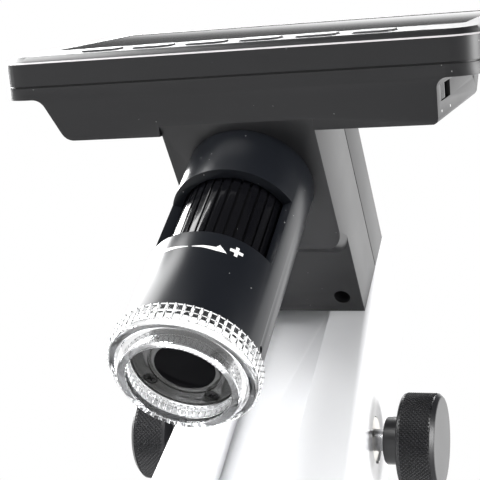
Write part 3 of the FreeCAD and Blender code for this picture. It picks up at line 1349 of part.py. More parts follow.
def make_rear_housing():
    """Back shell: shallow tray with the bulge, the seat for the head and the switch slot."""
    seam = BEZEL_SEAM - SEAM_GAP / 2
    outer = bulge_solid(0)
    right_edges = edges_where(
        outer,
        lambda b: b.XMin > BULGE_RIGHT - 0.01 and b.YMax < BULGE_TOP_START + 1
        and b.ZMax < MONITOR_BACK and (b.YLength < 0.01 or b.ZLength < 0.01),
    )
    outer = outer.makeFillet(BULGE_EDGE_ROUND, right_edges)
    body = monitor_slab(0, MONITOR_BACK, seam).fuse(outer)
    flare = right_flare()
    body = body.fuse(flare)
    lip = monitor_slab(MONITOR_WALL - SEAM_LIP, seam - 1, seam + SEAM_GAP)
    body = body.fuse(lip)
    tray = monitor_slab(MONITOR_WALL, MONITOR_BACK + MONITOR_WALL, seam + 5)
    body = body.cut(tray)
    inside = bulge_solid(MONITOR_WALL).fuse(
        bulge_body(MONITOR_WALL, MONITOR_WALL, BULGE_TOP_END - 4).common(
            box((-80, 0, MONITOR_BACK - 0.5), (80, BULGE_TOP_END - 6, MONITOR_BACK + MONITOR_WALL + 1)))
    )
    body = body.cut(inside)
    tilt = math.radians(TILT)
    pocket_half = HEAD_HALF + FIT_CLEARANCE
    pocket_top = HEAD_HEIGHT / math.sin(tilt) + SEAT_GAP
    pocket_back = -2 * BULGE_BACK
    pocket_back_top = pocket_top - pocket_back / math.tan(tilt)
    seat_half = pocket_half + MONITOR_WALL
    seat_v = pocket_top + BULGE_BACK / math.tan(tilt) + MONITOR_WALL
    body = body.fuse(box((MONITOR_OFFSET - seat_half, 0.5, -BULGE_BACK + 0.5),
                         (MONITOR_OFFSET + seat_half, seat_v, SEAT_FLOOR)))
    pocket_x = MONITOR_OFFSET - pocket_half
    body = body.cut(prism(
        [
            (pocket_x, -1, 0),
            (pocket_x, pocket_top, 0),
            (pocket_x, pocket_back_top, pocket_back),
            (pocket_x, -1, pocket_back),
        ],
        (2 * pocket_half, 0, 0),
    ))
    for x, v in head_mount_points():
        body = body.cut(rod(PILOT_RADIUS, (x, v, -1), (x, v, SEAT_FLOOR + 1)))
    for x, v in housing_screw_points():
        post = rod(HOUSING_BOSS_RADIUS, (x, v, MONITOR_BACK + 1), (x, v, BEZEL_SEAM + SEAM_GAP / 2 + 0.5))
        body = body.fuse(post)
        body = body.cut(rod(PILOT_RADIUS, (x, v, 0), (x, v, BEZEL_SEAM + 2)))
        body = body.cut(rod(SINK_RADIUS, (x, v, 0), (x, v, MONITOR_BACK + HOUSING_SINK)))
    body = body.cut(box(
        (BULGE_RIGHT - MONITOR_WALL - 1, SWITCH_SLOT_FOOT, SWITCH_SLOT_LOW),
        (BULGE_RIGHT + 5, SWITCH_SLOT_FOOT + SWITCH_SLOT_LENGTH, SWITCH_SLOT_LOW + SWITCH_SLOT_HEIGHT),
    ))
    reset_n = (MONITOR_BACK - BULGE_BACK) / 2
    reset_start = (BULGE_RIGHT - 2 * MONITOR_WALL, RESET_HOLE_V, reset_n)
    body = body.cut(rod(RESET_HOLE_RADIUS, reset_start, (BULGE_RIGHT + 1, RESET_HOLE_V, reset_n)))
    return tilted(body.cut(socket_cutters()).removeSplitter())


def right_flare():
    """Hollow corner between the bulge's steep flank and the monitor's back."""
    radius = BULGE_FILLET
    length = BULGE_TOP_START
    centre_x = BULGE_RIGHT + radius
    centre_n = MONITOR_BACK - radius
    block = box((BULGE_RIGHT - 0.5, 0, centre_n), (centre_x, length, MONITOR_BACK + 0.5))
    return block.cut(rod(radius, (centre_x, -1, centre_n), (centre_x, length + 1, centre_n)))


def make_housing_screws():
    """Four screws that close the monitor from behind."""
    seat = MONITOR_BACK + HOUSING_SINK
    length = FACE_BACK - 1 - FIT_CLEARANCE - seat
    return tilted(group([screw((x, v, seat), (0, 0, 1), length) for x, v in housing_screw_points()]))


def make_mount_screws():
    """Four screws inside the monitor that hold it on the head."""
    length = MOUNT_SCREW_LENGTH
    return tilted(group([screw((x, v, SEAT_FLOOR), (0, 0, -1), length) for x, v in head_mount_points()]))


def make_main_board():
    """Main circuit board, on the back shell's rim, with its chips behind."""
    half = MONITOR_HALF - MONITOR_WALL - MAIN_BOARD_SIDE_GAP
    high = MONITOR_HEIGHT - HOUSING_SCREW_INSET - HOUSING_BOSS_RADIUS - 0.4
    board = box((-half, MAIN_BOARD_FOOT, BOARD_BACK), (half, high, BOARD_FRONT))
    chips = [(-24, 58, 12, 9), (4, 60, 9, 8), (26, 58, 7, 6)]
    for x, v, w, h in chips:
        low_corner = (x - w / 2, v - h / 2, BOARD_BACK - CHIP_HEIGHT)
        board = board.fuse(box(low_corner, (x + w / 2, v + h / 2, BOARD_BACK)))
    return tilted(board)


def make_battery():
    """Flat rechargeable cell, lying on the seat's floor."""
    half = BATTERY_WIDTH / 2
    low = BATTERY_FOOT
    foot = SEAT_FLOOR + SCREW_HEAD_HEIGHT + BATTERY_GAP
    top = foot + BATTERY_THICKNESS
    return tilted(rounded_slab(-half, low, half, low + BATTERY_HEIGHT, BATTERY_CORNER, foot, top))


def make_battery_pad():
    """Foam pad that sticks the cell to the seat's floor."""
    low = HEAD_MOUNT_LOW + SCREW_HEAD_RADIUS + 1.0
    high = HEAD_MOUNT_HIGH - SCREW_HEAD_RADIUS - 1.0
    half = BATTERY_WIDTH / 2 - BATTERY_PAD_INSET
    pad = box((-half, low, SEAT_FLOOR), (half, high, SEAT_FLOOR + SCREW_HEAD_HEIGHT + BATTERY_GAP))
    return tilted(pad)


def make_display_pads():
    """Two foam strips between the display module and the main board."""
    half = LCD_WIDTH / 2 - PAD_INSET
    middle = WINDOW_FOOT + WINDOW_HEIGHT / 2
    reach = LCD_HEIGHT / 2 - PAD_INSET
    strips = []
    for v in (middle - reach, min(middle + reach, BULGE_TOP_END) - PAD_WIDTH):
        strips.append(box((-half, v, BOARD_FRONT), (half, v + PAD_WIDTH, FACE_BACK - LCD_THICKNESS)))
    return tilted(group(strips))


def make_key_board():
    """Narrow circuit board under the buttons."""
    left, right = key_post_places()
    front = key_board_front()
    end = KEY_POST_RADIUS + 0.3
    board = box((left - end, BUTTON_V - KEY_BOARD_HALF, front - KEY_BOARD_THICKNESS),
                (right + end, BUTTON_V + KEY_BOARD_HALF, front))
    for x in (left, right):
        hole = rod(NOSE_SCREW_RADIUS + FIT_CLEARANCE, (x, BUTTON_V, front - 2), (x, BUTTON_V, front + 1))
        board = board.cut(hole)
    return tilted(board)


def key_post_places():
    """X of the two posts that carry the button board."""
    last_button = BUTTON_PITCH * (BUTTON_COUNT - 1) / 2 + BUTTON_LENGTH / 2
    reach = last_button + BUTTON_FLANGE_MARGIN + KEY_POST_RADIUS + KEY_SWITCH_GAP
    return -reach, reach


def make_key_board_screws():
    """Two small screws of the button board."""
    foot = key_board_front() - KEY_BOARD_THICKNESS
    return tilted(group([
        screw((x, BUTTON_V, foot), (0, 0, 1), KEY_SCREW_LENGTH, NOSE_SCREW_RADIUS,
              NOSE_SCREW_HEAD, NOSE_SCREW_HEAD_HEIGHT)
        for x in key_post_places()
    ]))


def key_board_front():
    """Front face of the button board."""
    stem_foot = FACE_BACK - FIT_CLEARANCE - BUTTON_FLANGE - BUTTON_STEM
    return stem_foot - BUTTON_TRAVEL - KEY_SWITCH_HEIGHT - KEY_STUD_HEIGHT


def make_key_switches():
    """Click switches, one under each button."""
    front = key_board_front()
    half = KEY_SWITCH_SIDE / 2
    switches = []
    for x in button_places():
        top = front + KEY_SWITCH_HEIGHT
        case = box((x - half, BUTTON_V - half, front), (x + half, BUTTON_V + half, top - KEY_STUD_HEIGHT))
        stud = rod(KEY_STUD_RADIUS, (x, BUTTON_V, front + KEY_STUD_HEIGHT), (x, BUTTON_V, top))
        switches.append(case.fuse(stud))
    return tilted(group(switches))


def make_button(x):
    """Button with round corners and a flange that keeps it behind the face."""
    top = BEZEL_FACE + BUTTON_PROUD
    flange_top = FACE_BACK - FIT_CLEARANCE
    flange_foot = flange_top - BUTTON_FLANGE
    cap = button_slab(x, 0, flange_foot, top)
    cap = cap.makeFillet(BUTTON_EDGE_ROUND, edges_where(cap, lambda b: b.ZMin > top - 0.01))
    flange = button_slab(x, BUTTON_FLANGE_MARGIN, flange_foot, flange_top)
    stem = rod(BUTTON_STEM_RADIUS, (x, BUTTON_V, flange_foot - BUTTON_STEM), (x, BUTTON_V, flange_foot + 0.2))
    return tilted(cap.fuse(flange).fuse(stem).removeSplitter())


def make_switch_body():
    """Slide switch behind the slot in the bulge's right end."""
    face = BULGE_RIGHT - MONITOR_WALL - SWITCH_FLANGE_ROOM
    foot = SWITCH_SLOT_FOOT - SWITCH_END
    top = SWITCH_SLOT_FOOT + SWITCH_SLOT_LENGTH + SWITCH_END
    low = SWITCH_SLOT_LOW - SWITCH_SIDE
    high = SWITCH_SLOT_LOW + SWITCH_SLOT_HEIGHT + SWITCH_SIDE
    body = box((face - SWITCH_DEPTH, foot, low), (face, top, high))
    ears = []
    for v in (foot, top - SWITCH_END / 2):
        ears.append(box((face - 1.0, v, low), (face + SWITCH_FLANGE_ROOM, v + SWITCH_END / 2, high)))
    return tilted(body.fuse(ears).removeSplitter())


def switch_travel():
    """How far the slider can move along its slot."""
    return SWITCH_SLOT_LENGTH - SWITCH_SLIDER_LENGTH - 2 * SLIDING_GAP


def make_switch_slider():
    """Ridged slider that fills half of the slot."""
    wall_in = BULGE_RIGHT - MONITOR_WALL
    foot = SWITCH_SLOT_FOOT + SLIDING_GAP
    top = foot + SWITCH_SLIDER_LENGTH
    low = SWITCH_SLOT_LOW + 2 * FIT_CLEARANCE
    high = SWITCH_SLOT_LOW + SWITCH_SLOT_HEIGHT - 2 * FIT_CLEARANCE
    grip = box((wall_in - 0.5, foot, low), (BULGE_RIGHT - SWITCH_SLIDER_SUNK, top, high))
    for index in range(SWITCH_GROOVES):
        v = foot + SWITCH_SLIDER_LENGTH * (index + 1) / (SWITCH_GROOVES + 1)
        groove = box((BULGE_RIGHT - 0.7, v - 0.3, low - 1), (BULGE_RIGHT + 1, v + 0.3, high + 1))
        grip = grip.cut(groove)
    flange_start = (wall_in - SWITCH_FLANGE_ROOM + 0.2, foot - 0.6, low - 0.8)
    flange = box(flange_start, (wall_in - 0.2, top + 0.6, high + 0.8))
    return tilted(grip.fuse(flange).removeSplitter())


def make_usb_socket():
    """Charging and data socket at the monitor's left edge."""
    start = -MONITOR_HALF + MONITOR_WALL + SOCKET_GAP
    end = start + USB_DEPTH
    low = BOARD_FRONT
    half = USB_WIDTH / 2
    skin = SOCKET_SKIN
    body = box((start, USB_V - half, low), (end, USB_V + half, low + USB_HEIGHT))
    mouth = box((start - 1, USB_V - half + skin, low + skin),
                (end - skin, USB_V + half - skin, low + USB_HEIGHT - skin))
    middle = low + USB_HEIGHT / 2
    blade_half = half * 0.6
    blade = box((start + 2 * skin, USB_V - blade_half, middle - 0.3),
                (end - skin / 2, USB_V + blade_half, middle + 0.3))
    return tilted(body.cut(mouth).fuse(blade))


def make_card_socket():
    """Memory card socket at the monitor's left edge."""
    start = -MONITOR_HALF + MONITOR_WALL + SOCKET_GAP
    end = start + CARD_DEPTH
    low = BOARD_FRONT
    half = CARD_WIDTH / 2
    slot_half = CARD_SLOT_WIDTH / 2
    body = box((start, CARD_V - half, low), (end, CARD_V + half, low + CARD_HEIGHT))
    mouth = box((start - 1, CARD_V - slot_half, low + CARD_LIFT),
                (end - 1, CARD_V + slot_half, low + CARD_LIFT + CARD_SLOT_HEIGHT))
    return tilted(body.cut(mouth))


PARTS = {
    "base_shell": make_base_shell,
    "base_plate": make_base_plate,
    "base_screws": make_base_screws,
    "column_screws": make_column_screws,
    "rubber_feet": make_feet,
    "stage_plate": make_stage_plate,
    "column_shell": make_column_shell,
    "column_rear_cover": make_rear_cover,
    "rear_cover_screws": make_rear_cover_screws,
    "lift_guides": make_guides,
    "guide_screws": make_guide_screws,
    "shaft_bushes": make_bushes,
    "lift_bar": make_lift_bar,
    "lift_rack": make_rack,
    "pinion": make_pinion,
    "knob_shaft": make_shaft,
    "knob_left": lambda: make_knob(-1),
    "knob_right": lambda: make_knob(1),
    "head_lower": make_head_lower,
    "head_upper": make_head_upper,
    "head_screws": make_head_screws,
    "tongue_screws": make_tongue_screws,
    "barrel": make_barrel,
    "focus_ring": make_focus_ring,
    "ring_collars": make_collars,
    "barrel_nut": make_barrel_nut,
    "lens_carrier": make_lens_carrier,
    "objective_lens": make_objective_lens,
    "light_diffuser": make_diffuser,
    "nose_screws": make_nose_screws,
    "lens_window": make_lens_window,
    "led_board": make_led_board,
    "led_lamps": make_leds,
    "sensor_board": make_sensor_board,
    "clear_cap": make_clear_cap,
    "front_bezel": make_front_bezel,
    "rear_housing": make_rear_housing,
    "display_glass": make_display_glass,
    "lcd_module": make_lcd,
    "main_board": make_main_board,
    "battery": make_battery,
    "battery_pad": make_battery_pad,
    "display_pads": make_display_pads,
    "key_board": make_key_board,
    "key_switches": make_key_switches,
    "key_board_screws": make_key_board_screws,
    "housing_screws": make_housing_screws,
    "mount_screws": make_mount_screws,
    "power_switch_body": make_switch_body,
    "power_switch_slider": make_switch_slider,
    "usb_socket": make_usb_socket,
    "card_socket": make_card_socket,
}
for number, place in enumerate(button_places(), start=1):
    PARTS[f"button_{number}"] = lambda x=place: make_button(x)


os.makedirs("parts", exist_ok=True)
for name, maker in PARTS.items():
    shape = maker()
    print(name, len(shape.Solids), shape.isValid(), round(shape.Volume, 1))
    shape.exportStep(f"parts/{name}.step")
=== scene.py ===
"""Looks of the desk microscope: finishes, rounded and ribbed surfaces, prints, light and camera.

Metres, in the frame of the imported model. The sections follow the microscope as it is put together,
from the base up to the monitor; the studio and the camera come last.
"""

import json
import math

import bpy
from mathutils import Matrix, Vector

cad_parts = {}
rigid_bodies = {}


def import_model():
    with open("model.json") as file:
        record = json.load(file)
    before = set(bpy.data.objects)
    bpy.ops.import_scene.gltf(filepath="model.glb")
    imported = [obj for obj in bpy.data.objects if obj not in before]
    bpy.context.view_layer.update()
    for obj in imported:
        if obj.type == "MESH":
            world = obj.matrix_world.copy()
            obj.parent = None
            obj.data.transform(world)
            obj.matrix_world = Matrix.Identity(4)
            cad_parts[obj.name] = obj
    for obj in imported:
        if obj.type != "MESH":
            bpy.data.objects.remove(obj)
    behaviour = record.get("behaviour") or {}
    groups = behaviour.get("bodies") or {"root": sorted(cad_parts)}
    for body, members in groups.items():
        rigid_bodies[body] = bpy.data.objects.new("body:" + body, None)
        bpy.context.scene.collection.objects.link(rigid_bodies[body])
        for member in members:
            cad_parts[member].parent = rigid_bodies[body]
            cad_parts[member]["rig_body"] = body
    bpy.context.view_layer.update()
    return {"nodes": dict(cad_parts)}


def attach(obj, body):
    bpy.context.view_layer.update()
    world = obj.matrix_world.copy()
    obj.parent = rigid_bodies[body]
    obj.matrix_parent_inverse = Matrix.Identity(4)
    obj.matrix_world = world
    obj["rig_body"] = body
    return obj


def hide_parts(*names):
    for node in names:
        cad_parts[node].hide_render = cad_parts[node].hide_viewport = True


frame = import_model()
MM = 0.001

# Base shell. White moulded plastic, glossy, with a broad rounded rim; the stage plate is let into
# its top and the column is screwed to it from below.


MERGE_GAP = 0.002 * MM
FLAT_ANGLE = math.radians(0.4)
CLOUD_SIZE = 12
DUST_SPACING = 3
DUST_GREY = (0.5, 0.5, 0.5, 1)


def select_alone(piece):
    """Makes one piece the only selected and active one."""
    bpy.ops.object.select_all(action="DESELECT")
    piece.select_set(True)
    bpy.context.view_layer.objects.active = piece


def smooth_by_angle(piece, degrees=30):
    """Smooth shading that keeps edges sharper than an angle."""
    select_alone(piece)
    bpy.ops.object.shade_smooth_by_angle(angle=math.radians(degrees))


def round_edges(piece, width, steps=3, degrees=35):
    """Rounds every sharp edge of a piece."""
    select_alone(piece)
    bevel = piece.modifiers.new("round", "BEVEL")
    bevel.width = width
    bevel.segments = steps
    bevel.limit_method = "ANGLE"
    bevel.angle_limit = math.radians(degrees)
    bevel.use_clamp_overlap = True
    bevel.harden_normals = False
    bpy.ops.object.modifier_apply(modifier=bevel.name)


def dress(node, name, rounding=0.0, degrees=30):
    """A merged copy of a modelled solid, its flat faces joined and its sharp edges rounded."""
    source = frame["nodes"][node]
    piece = bpy.data.objects.new(name, source.data.copy())
    bpy.context.collection.objects.link(piece)
    select_alone(piece)
    bpy.ops.object.mode_set(mode="EDIT")
    bpy.ops.mesh.select_all(action="SELECT")
    bpy.ops.mesh.remove_doubles(threshold=MERGE_GAP)
    bpy.ops.mesh.dissolve_limited(angle_limit=FLAT_ANGLE)
    bpy.ops.object.mode_set(mode="OBJECT")
    if rounding:
        round_edges(piece, rounding)
    smooth_by_angle(piece, degrees)
    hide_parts(node)
    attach(piece, source["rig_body"])
    return piece


def finish(name, colour, roughness, grain=0.3, depth=0.02, mottle=0.06, dust=0.0, **sockets):
    """A moulded or machined finish with mottled colour, uneven gloss, fine grain and a little dust.

    Sizes are in mm; further sockets of the shader are given by name.
    """
    material = bpy.data.materials.new(name)
    material.use_nodes = True
    nodes = material.node_tree.nodes
    links = material.node_tree.links
    shader = nodes["Principled BSDF"]
    for socket, value in sockets.items():
        shader.inputs[socket.replace("_", " ")].default_value = value
    place = nodes.new("ShaderNodeTexCoord").outputs["Object"]
    cloud = nodes.new("ShaderNodeTexNoise")
    cloud.inputs["Scale"].default_value = 1 / (CLOUD_SIZE * MM)
    cloud.inputs["Detail"].default_value = 4
    links.new(place, cloud.inputs["Vector"])
    tint = nodes.new("ShaderNodeMix")
    tint.data_type = "RGBA"
    tint.inputs[6].default_value = (*[c * (1 - mottle) for c in colour], 1)
    tint.inputs[7].default_value = (*[min(c * (1 + mottle), 1) for c in colour], 1)
    links.new(cloud.outputs["Fac"], tint.inputs[0])
    painted = tint.outputs[2]
    if dust:
        specks = nodes.new("ShaderNodeTexVoronoi")
        specks.inputs["Scale"].default_value = 1 / (DUST_SPACING * MM)
        links.new(place, specks.inputs["Vector"])
        near = nodes.new("ShaderNodeMath")
        near.operation = "LESS_THAN"
        near.inputs[1].default_value = dust
        links.new(specks.outputs["Distance"], near.inputs[0])
        dusty = nodes.new("ShaderNodeMix")
        dusty.data_type = "RGBA"
        dusty.inputs[7].default_value = DUST_GREY
        links.new(near.outputs[0], dusty.inputs[0])
        links.new(painted, dusty.inputs[6])
        painted = dusty.outputs[2]
    links.new(painted, shader.inputs["Base Color"])
    gloss = nodes.new("ShaderNodeMapRange")
    gloss.inputs["To Min"].default_value = roughness * 0.9
    gloss.inputs["To Max"].default_value = min(roughness * 1.1, 1)
    links.new(cloud.outputs["Fac"], gloss.inputs["Value"])
    links.new(gloss.outputs["Result"], shader.inputs["Roughness"])
    if depth:
        speck = nodes.new("ShaderNodeTexNoise")
        speck.inputs["Scale"].default_value = 1 / (grain * MM)
        speck.inputs["Detail"].default_value = 2
        links.new(place, speck.inputs["Vector"])
        bump = nodes.new("ShaderNodeBump")
        bump.inputs["Distance"].default_value = depth * MM
        bump.inputs["Strength"].default_value = 1
        links.new(speck.outputs["Fac"], bump.inputs["Height"])
        links.new(bump.outputs["Normal"], shader.inputs["Normal"])
    return material


def wear(piece, *materials):
    """Gives a piece its finishes; the first one goes all over."""
    piece.data.materials.clear()
    for material in materials:
        piece.data.materials.append(material)


white_gloss = finish("white_gloss", (0.88, 0.885, 0.9), 0.2, grain=2.5, depth=0.004, mottle=0.012)
base = dress("base_shell", "base_moulding", 0.4 * MM)
wear(base, white_gloss)

# Stage plate. A matt white disc under the lens, where the specimen lies; it is pressed into its
# seat in the base.
stage_white = finish("stage_white", (0.8, 0.8, 0.79), 0.55, grain=0.25, depth=0.02)
plate = dress("stage_plate", "stage_disc", 0.2 * MM)
wear(plate, stage_white)

# Bottom of the base. A painted steel plate that weighs the stand down, closed from below, on four
# rubber feet.
plate_paint = finish("plate_paint", (0.03, 0.03, 0.032), 0.5, grain=0.5, depth=0.03)
wear(frame["nodes"]["base_plate"], plate_paint)
foot_rubber = finish("foot_rubber", (0.02, 0.02, 0.02), 0.8, grain=0.4, depth=0.03)
wear(frame["nodes"]["rubber_feet"], foot_rubber)

# Column. A white glossy tower in two mouldings, a front shell and a rear cover, open down its
# front for the sliding head.
column = dress("column_shell", "column_front", 0.5 * MM)
wear(column, white_gloss)
cover = dress("column_rear_cover", "column_back", 0.4 * MM)
wear(cover, white_gloss)

# Lift. A white bar that shows at the bottom of the column's channel; behind it a brass rack and
# pinion, plastic guides and a bright shaft in two tinned bushes.
bar = dress("lift_bar", "lift_slide", 0.2 * MM)
wear(bar, white_gloss)
brass = finish("machined_brass", (0.72, 0.55, 0.24), 0.3, grain=0.4, depth=0.01, Metallic=1)
for node in ("lift_rack", "pinion"):
    wear(frame["nodes"][node], brass)
bronze = finish("tinned_bronze", (0.78, 0.76, 0.72), 0.35, grain=0.3, depth=0.01, Metallic=1)
wear(frame["nodes"]["shaft_bushes"], bronze)
steel = finish("turned_steel", (0.6, 0.6, 0.61), 0.28, grain=0.3, depth=0.01, Metallic=1)
for node in ("base_screws", "column_screws", "rear_cover_screws", "guide_screws", "tongue_screws",
             "mount_screws", "key_board_screws", "housing_screws", "head_screws",
             "knob_shaft", "usb_socket", "card_socket"):
    wear(frame["nodes"][node], steel)
guide_white = finish("guide_white", (0.75, 0.75, 0.73), 0.4)
wear(frame["nodes"]["lift_guides"], guide_white)

# Knobs. Turned aluminium, black anodised: a plain hub bored for the shaft, a wide body with a
# diamond knurl round its rim, a chamfer and a flat turned end.
KNOB_CENTRE = Vector((0, 47.3, 132)) * MM
KNOB_RADIUS = 13.1
KNURL_START, KNURL_END = 33.05, 41.5
KNURL_DEPTH = 0.3
KNURL_ROWS = 15
KNURL_COLUMNS = 148
KNURL_CREASE = 18
ON_RIM = 0.02


def turned(name, outline, centre, axis, steps):
    """A lathe form: points of (radius, place along the axis), joined up and spun round the axis."""
    bpy.ops.object.select_all(action="DESELECT")
    bpy.ops.mesh.primitive_plane_add(size=MM)
    piece = bpy.context.active_object
    piece.name = name
    centre, axis = Vector(centre), Vector(axis)
    side = Vector((0, 1, 0)) if abs(axis.y) < 0.5 else Vector((1, 0, 0))
    spots = [centre + (side * radius + axis * along) * MM for radius, along in outline]
    bpy.ops.object.mode_set(mode="EDIT")
    bpy.ops.mesh.merge(type="CENTER")
    bpy.ops.transform.translate(value=spots[0])
    for start, end in zip(spots, spots[1:]):
        bpy.ops.mesh.extrude_vertices_move(TRANSFORM_OT_translate={"value": end - start})
    bpy.ops.mesh.select_all(action="SELECT")
    bpy.ops.mesh.spin(steps=steps, angle=math.tau, center=centre, axis=axis)
    bpy.ops.mesh.select_all(action="SELECT")
    bpy.ops.mesh.remove_doubles(threshold=0.001 * MM)
    bpy.ops.mesh.normals_make_consistent(inside=False)
    bpy.ops.object.mode_set(mode="OBJECT")
    return piece


def select_points(piece, chosen):
    """Goes into edit mode with only the chosen points of a piece selected."""
    select_alone(piece)
    bpy.ops.object.mode_set(mode="EDIT")
    bpy.ops.mesh.select_mode(type="VERT")
    bpy.ops.mesh.select_all(action="DESELECT")
    bpy.ops.object.mode_set(mode="OBJECT")
    for vertex in piece.data.vertices:
        vertex.select = bool(chosen(vertex.co))
    bpy.ops.object.mode_set(mode="EDIT")


knob_black = finish("knob_black", (0.008, 0.008, 0.0095), 0.34, grain=0.2, depth=0.006, mottle=0.1)
knurl = [KNURL_START + (KNURL_END - KNURL_START) * row / KNURL_ROWS
         for row in range(KNURL_ROWS + 1)]
for side, sign in (("left", -1), ("right", 1)):
    outline = [(0, 38.7), (3.0, 38.7), (3.0, 27.75), (6.2, 27.75), (6.45, 28.0), (6.45, 32.3),
               (6.65, 32.5), (12.5, 32.5), (12.8, 32.8)]
    outline += [(KNOB_RADIUS - KNURL_DEPTH, along) for along in knurl]
    outline += [(KNOB_RADIUS - 0.1, 41.62), (12.1, 42.58), (11.8, 42.7), (0.0, 42.7)]
    knob = turned(f"turning_knob_{side}", outline, KNOB_CENTRE, (sign, 0, 0), KNURL_COLUMNS)

    def on_crest(co):
        """Every second point of every second row, so that the crests stand on a diamond grid."""
        away = co - KNOB_CENTRE
        across = math.hypot(away.y, away.z) / MM
        row = (abs(co.x) / MM - KNURL_START) / (KNURL_END - KNURL_START) * KNURL_ROWS
        off_rim = abs(across - KNOB_RADIUS + KNURL_DEPTH) > ON_RIM
        if off_rim or not 0.5 < row < KNURL_ROWS - 0.5:
            return False
        column = math.atan2(away.z, away.y) / math.tau * KNURL_COLUMNS
        return (round(row) + round(column)) % 2 == 0

    select_points(knob, on_crest)
    swell = KNOB_RADIUS / (KNOB_RADIUS - KNURL_DEPTH)
    bpy.ops.transform.resize(value=(1, swell, swell), center_override=KNOB_CENTRE)
    bpy.ops.mesh.select_all(action="SELECT")
    bpy.ops.mesh.quads_convert_to_tris(quad_method="SHORTEST_DIAGONAL")
    bpy.ops.object.mode_set(mode="OBJECT")
    smooth_by_angle(knob, KNURL_CREASE)
    wear(knob, knob_black)
    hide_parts(f"knob_{side}")
    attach(knob, "lift_drive")

# Head block. Two dark mouldings that close on a groove; the monitor sits on their sloping front,
# and two sunk screws hold them together from below.
head_grey = finish("head_grey", (0.01, 0.01, 0.011), 0.34, grain=0.22, depth=0.003, dust=0.025)
for node, name in (("head_lower", "head_body"), ("head_upper", "head_lid")):
    half = dress(node, name, 0.35 * MM)
    wear(half, head_grey)

# Barrel. Satin black tube with a framed window over the focus ring; a white arrow with a plus at
# one end and a minus at the other is printed under the window.
BARREL_AXIS = Vector((0, -25, 0)) * MM
BARREL_TOP = 156
BARREL_RADIUS = 16.5
INK = 0.02
ROLL_STEP = 2.5
barrel_black = finish("barrel_black", (0.006, 0.007, 0.0095), 0.3, grain=0.3, depth=0.002,
                      dust=0.04, Specular_IOR_Level=0.35)
barrel = dress("barrel", "barrel_tube", 0.3 * MM)
wear(barrel, barrel_black)
print_white = finish("print_white", (0.8, 0.8, 0.8), 0.4, grain=0.3, depth=0.004)


def printed(name, corners):
    """A thin white mark on the barrel; its corners are (degrees round the barrel, depth in mm)."""
    bpy.ops.object.select_all(action="DESELECT")
    bpy.ops.mesh.primitive_plane_add(size=MM)
    mark = bpy.context.active_object
    mark.name = name
    spots = [Vector((math.radians(turn) * BARREL_RADIUS, 0, -depth)) * MM
             for turn, depth in corners]
    bpy.ops.object.mode_set(mode="EDIT")
    bpy.ops.mesh.merge(type="CENTER")
    bpy.ops.transform.translate(value=spots[0])
    for start, end in zip(spots, spots[1:]):
        bpy.ops.mesh.extrude_vertices_move(TRANSFORM_OT_translate={"value": end - start})
    bpy.ops.mesh.select_all(action="SELECT")
    bpy.ops.mesh.edge_face_add()
    first, last = min(turn for turn, _ in corners), max(turn for turn, _ in corners)
    for step in range(1, int((last - first) / ROLL_STEP) + 1):
        bpy.ops.mesh.select_all(action="SELECT")
        cut = math.radians(first + ROLL_STEP * step) * BARREL_RADIUS * MM
        bpy.ops.mesh.bisect(plane_co=(cut, 0, 0), plane_no=(1, 0, 0))
    bpy.ops.object.mode_set(mode="OBJECT")
    for vertex in mark.data.vertices:
        turn = vertex.co.x / (BARREL_RADIUS * MM)
        reach = (BARREL_RADIUS + INK) * MM
        height = BARREL_TOP * MM + vertex.co.z
        around = Vector((math.cos(turn) * reach, math.sin(turn) * reach, height))
        vertex.co = BARREL_AXIS + around
    select_alone(mark)
    ink = mark.modifiers.new("ink", "SOLIDIFY")
    ink.thickness = INK * MM
    ink.offset = 0
    bpy.ops.object.modifier_apply(modifier=ink.name)
    bpy.ops.object.mode_set(mode="EDIT")
    bpy.ops.mesh.select_all(action="SELECT")
    bpy.ops.mesh.normals_make_consistent(inside=False)
    bpy.ops.object.mode_set(mode="OBJECT")
    wear(mark, print_white)
    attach(mark, "head")


printed("arrow_right", [(-89.5, 42.8), (-80, 42.35), (-70.5, 42.25), (-67.9, 41.35),
                        (-60.8, 43.25), (-70, 43.35), (-80, 43.05), (-89.5, 42.98)])
printed("arrow_left", [(-92.8, 42.98), (-105, 43.1), (-118.5, 43.3), (-136, 42.2),
                       (-117, 41.3), (-114, 42.1), (-103, 42.4), (-92.8, 42.8)])
printed("plus_sign", [(-55.2, 40.2), (-52.3, 40.2), (-52.3, 41.15), (-48.1, 41.15),
                      (-48.1, 42.0), (-52.3, 42.0), (-52.3, 43.0), (-55.2, 43.0),
                      (-55.2, 42.0), (-59.4, 42.0), (-59.4, 41.15), (-55.2, 41.15)])
printed("minus_sign", [(-149.5, 41.15), (-140.5, 41.15), (-140.5, 42.0), (-149.5, 42.0)])

# Focus ring. Glossy black ring with flat ribs, turned with a fingertip through the window.
ring_black = finish("ring_black", (0.003, 0.003, 0.004), 0.13, grain=0.5, depth=0.003, dust=0.04,
                    Specular_IOR_Level=0.35)
ring = dress("focus_ring", "focus_grip", 0.12 * MM)
wear(ring, ring_black)
for node in ("ring_collars", "barrel_nut", "lens_carrier"):
    wear(frame["nodes"][node], barrel_black)

# Nose. Glossy dark grey ring that spreads the lamps' light, four small cross-head screws, and a
# deep dark lens window in the middle.
nose_grey = finish("nose_grey", (0.02, 0.02, 0.019), 0.14, grain=0.5, depth=0.004)
nose = dress("light_diffuser", "light_ring", 0.1 * MM)
wear(nose, nose_grey)
screw_dark = finish("screw_dark", (0.03, 0.03, 0.03), 0.3, grain=0.3, depth=0.01, Metallic=1)
wear(frame["nodes"]["nose_screws"], screw_dark)
lens_black = finish("lens_black", (0.003, 0.003, 0.0035), 0.1, depth=0, Specular_IOR_Level=0.01)
for node in ("lens_window", "objective_lens"):
    wear(frame["nodes"][node], lens_black)

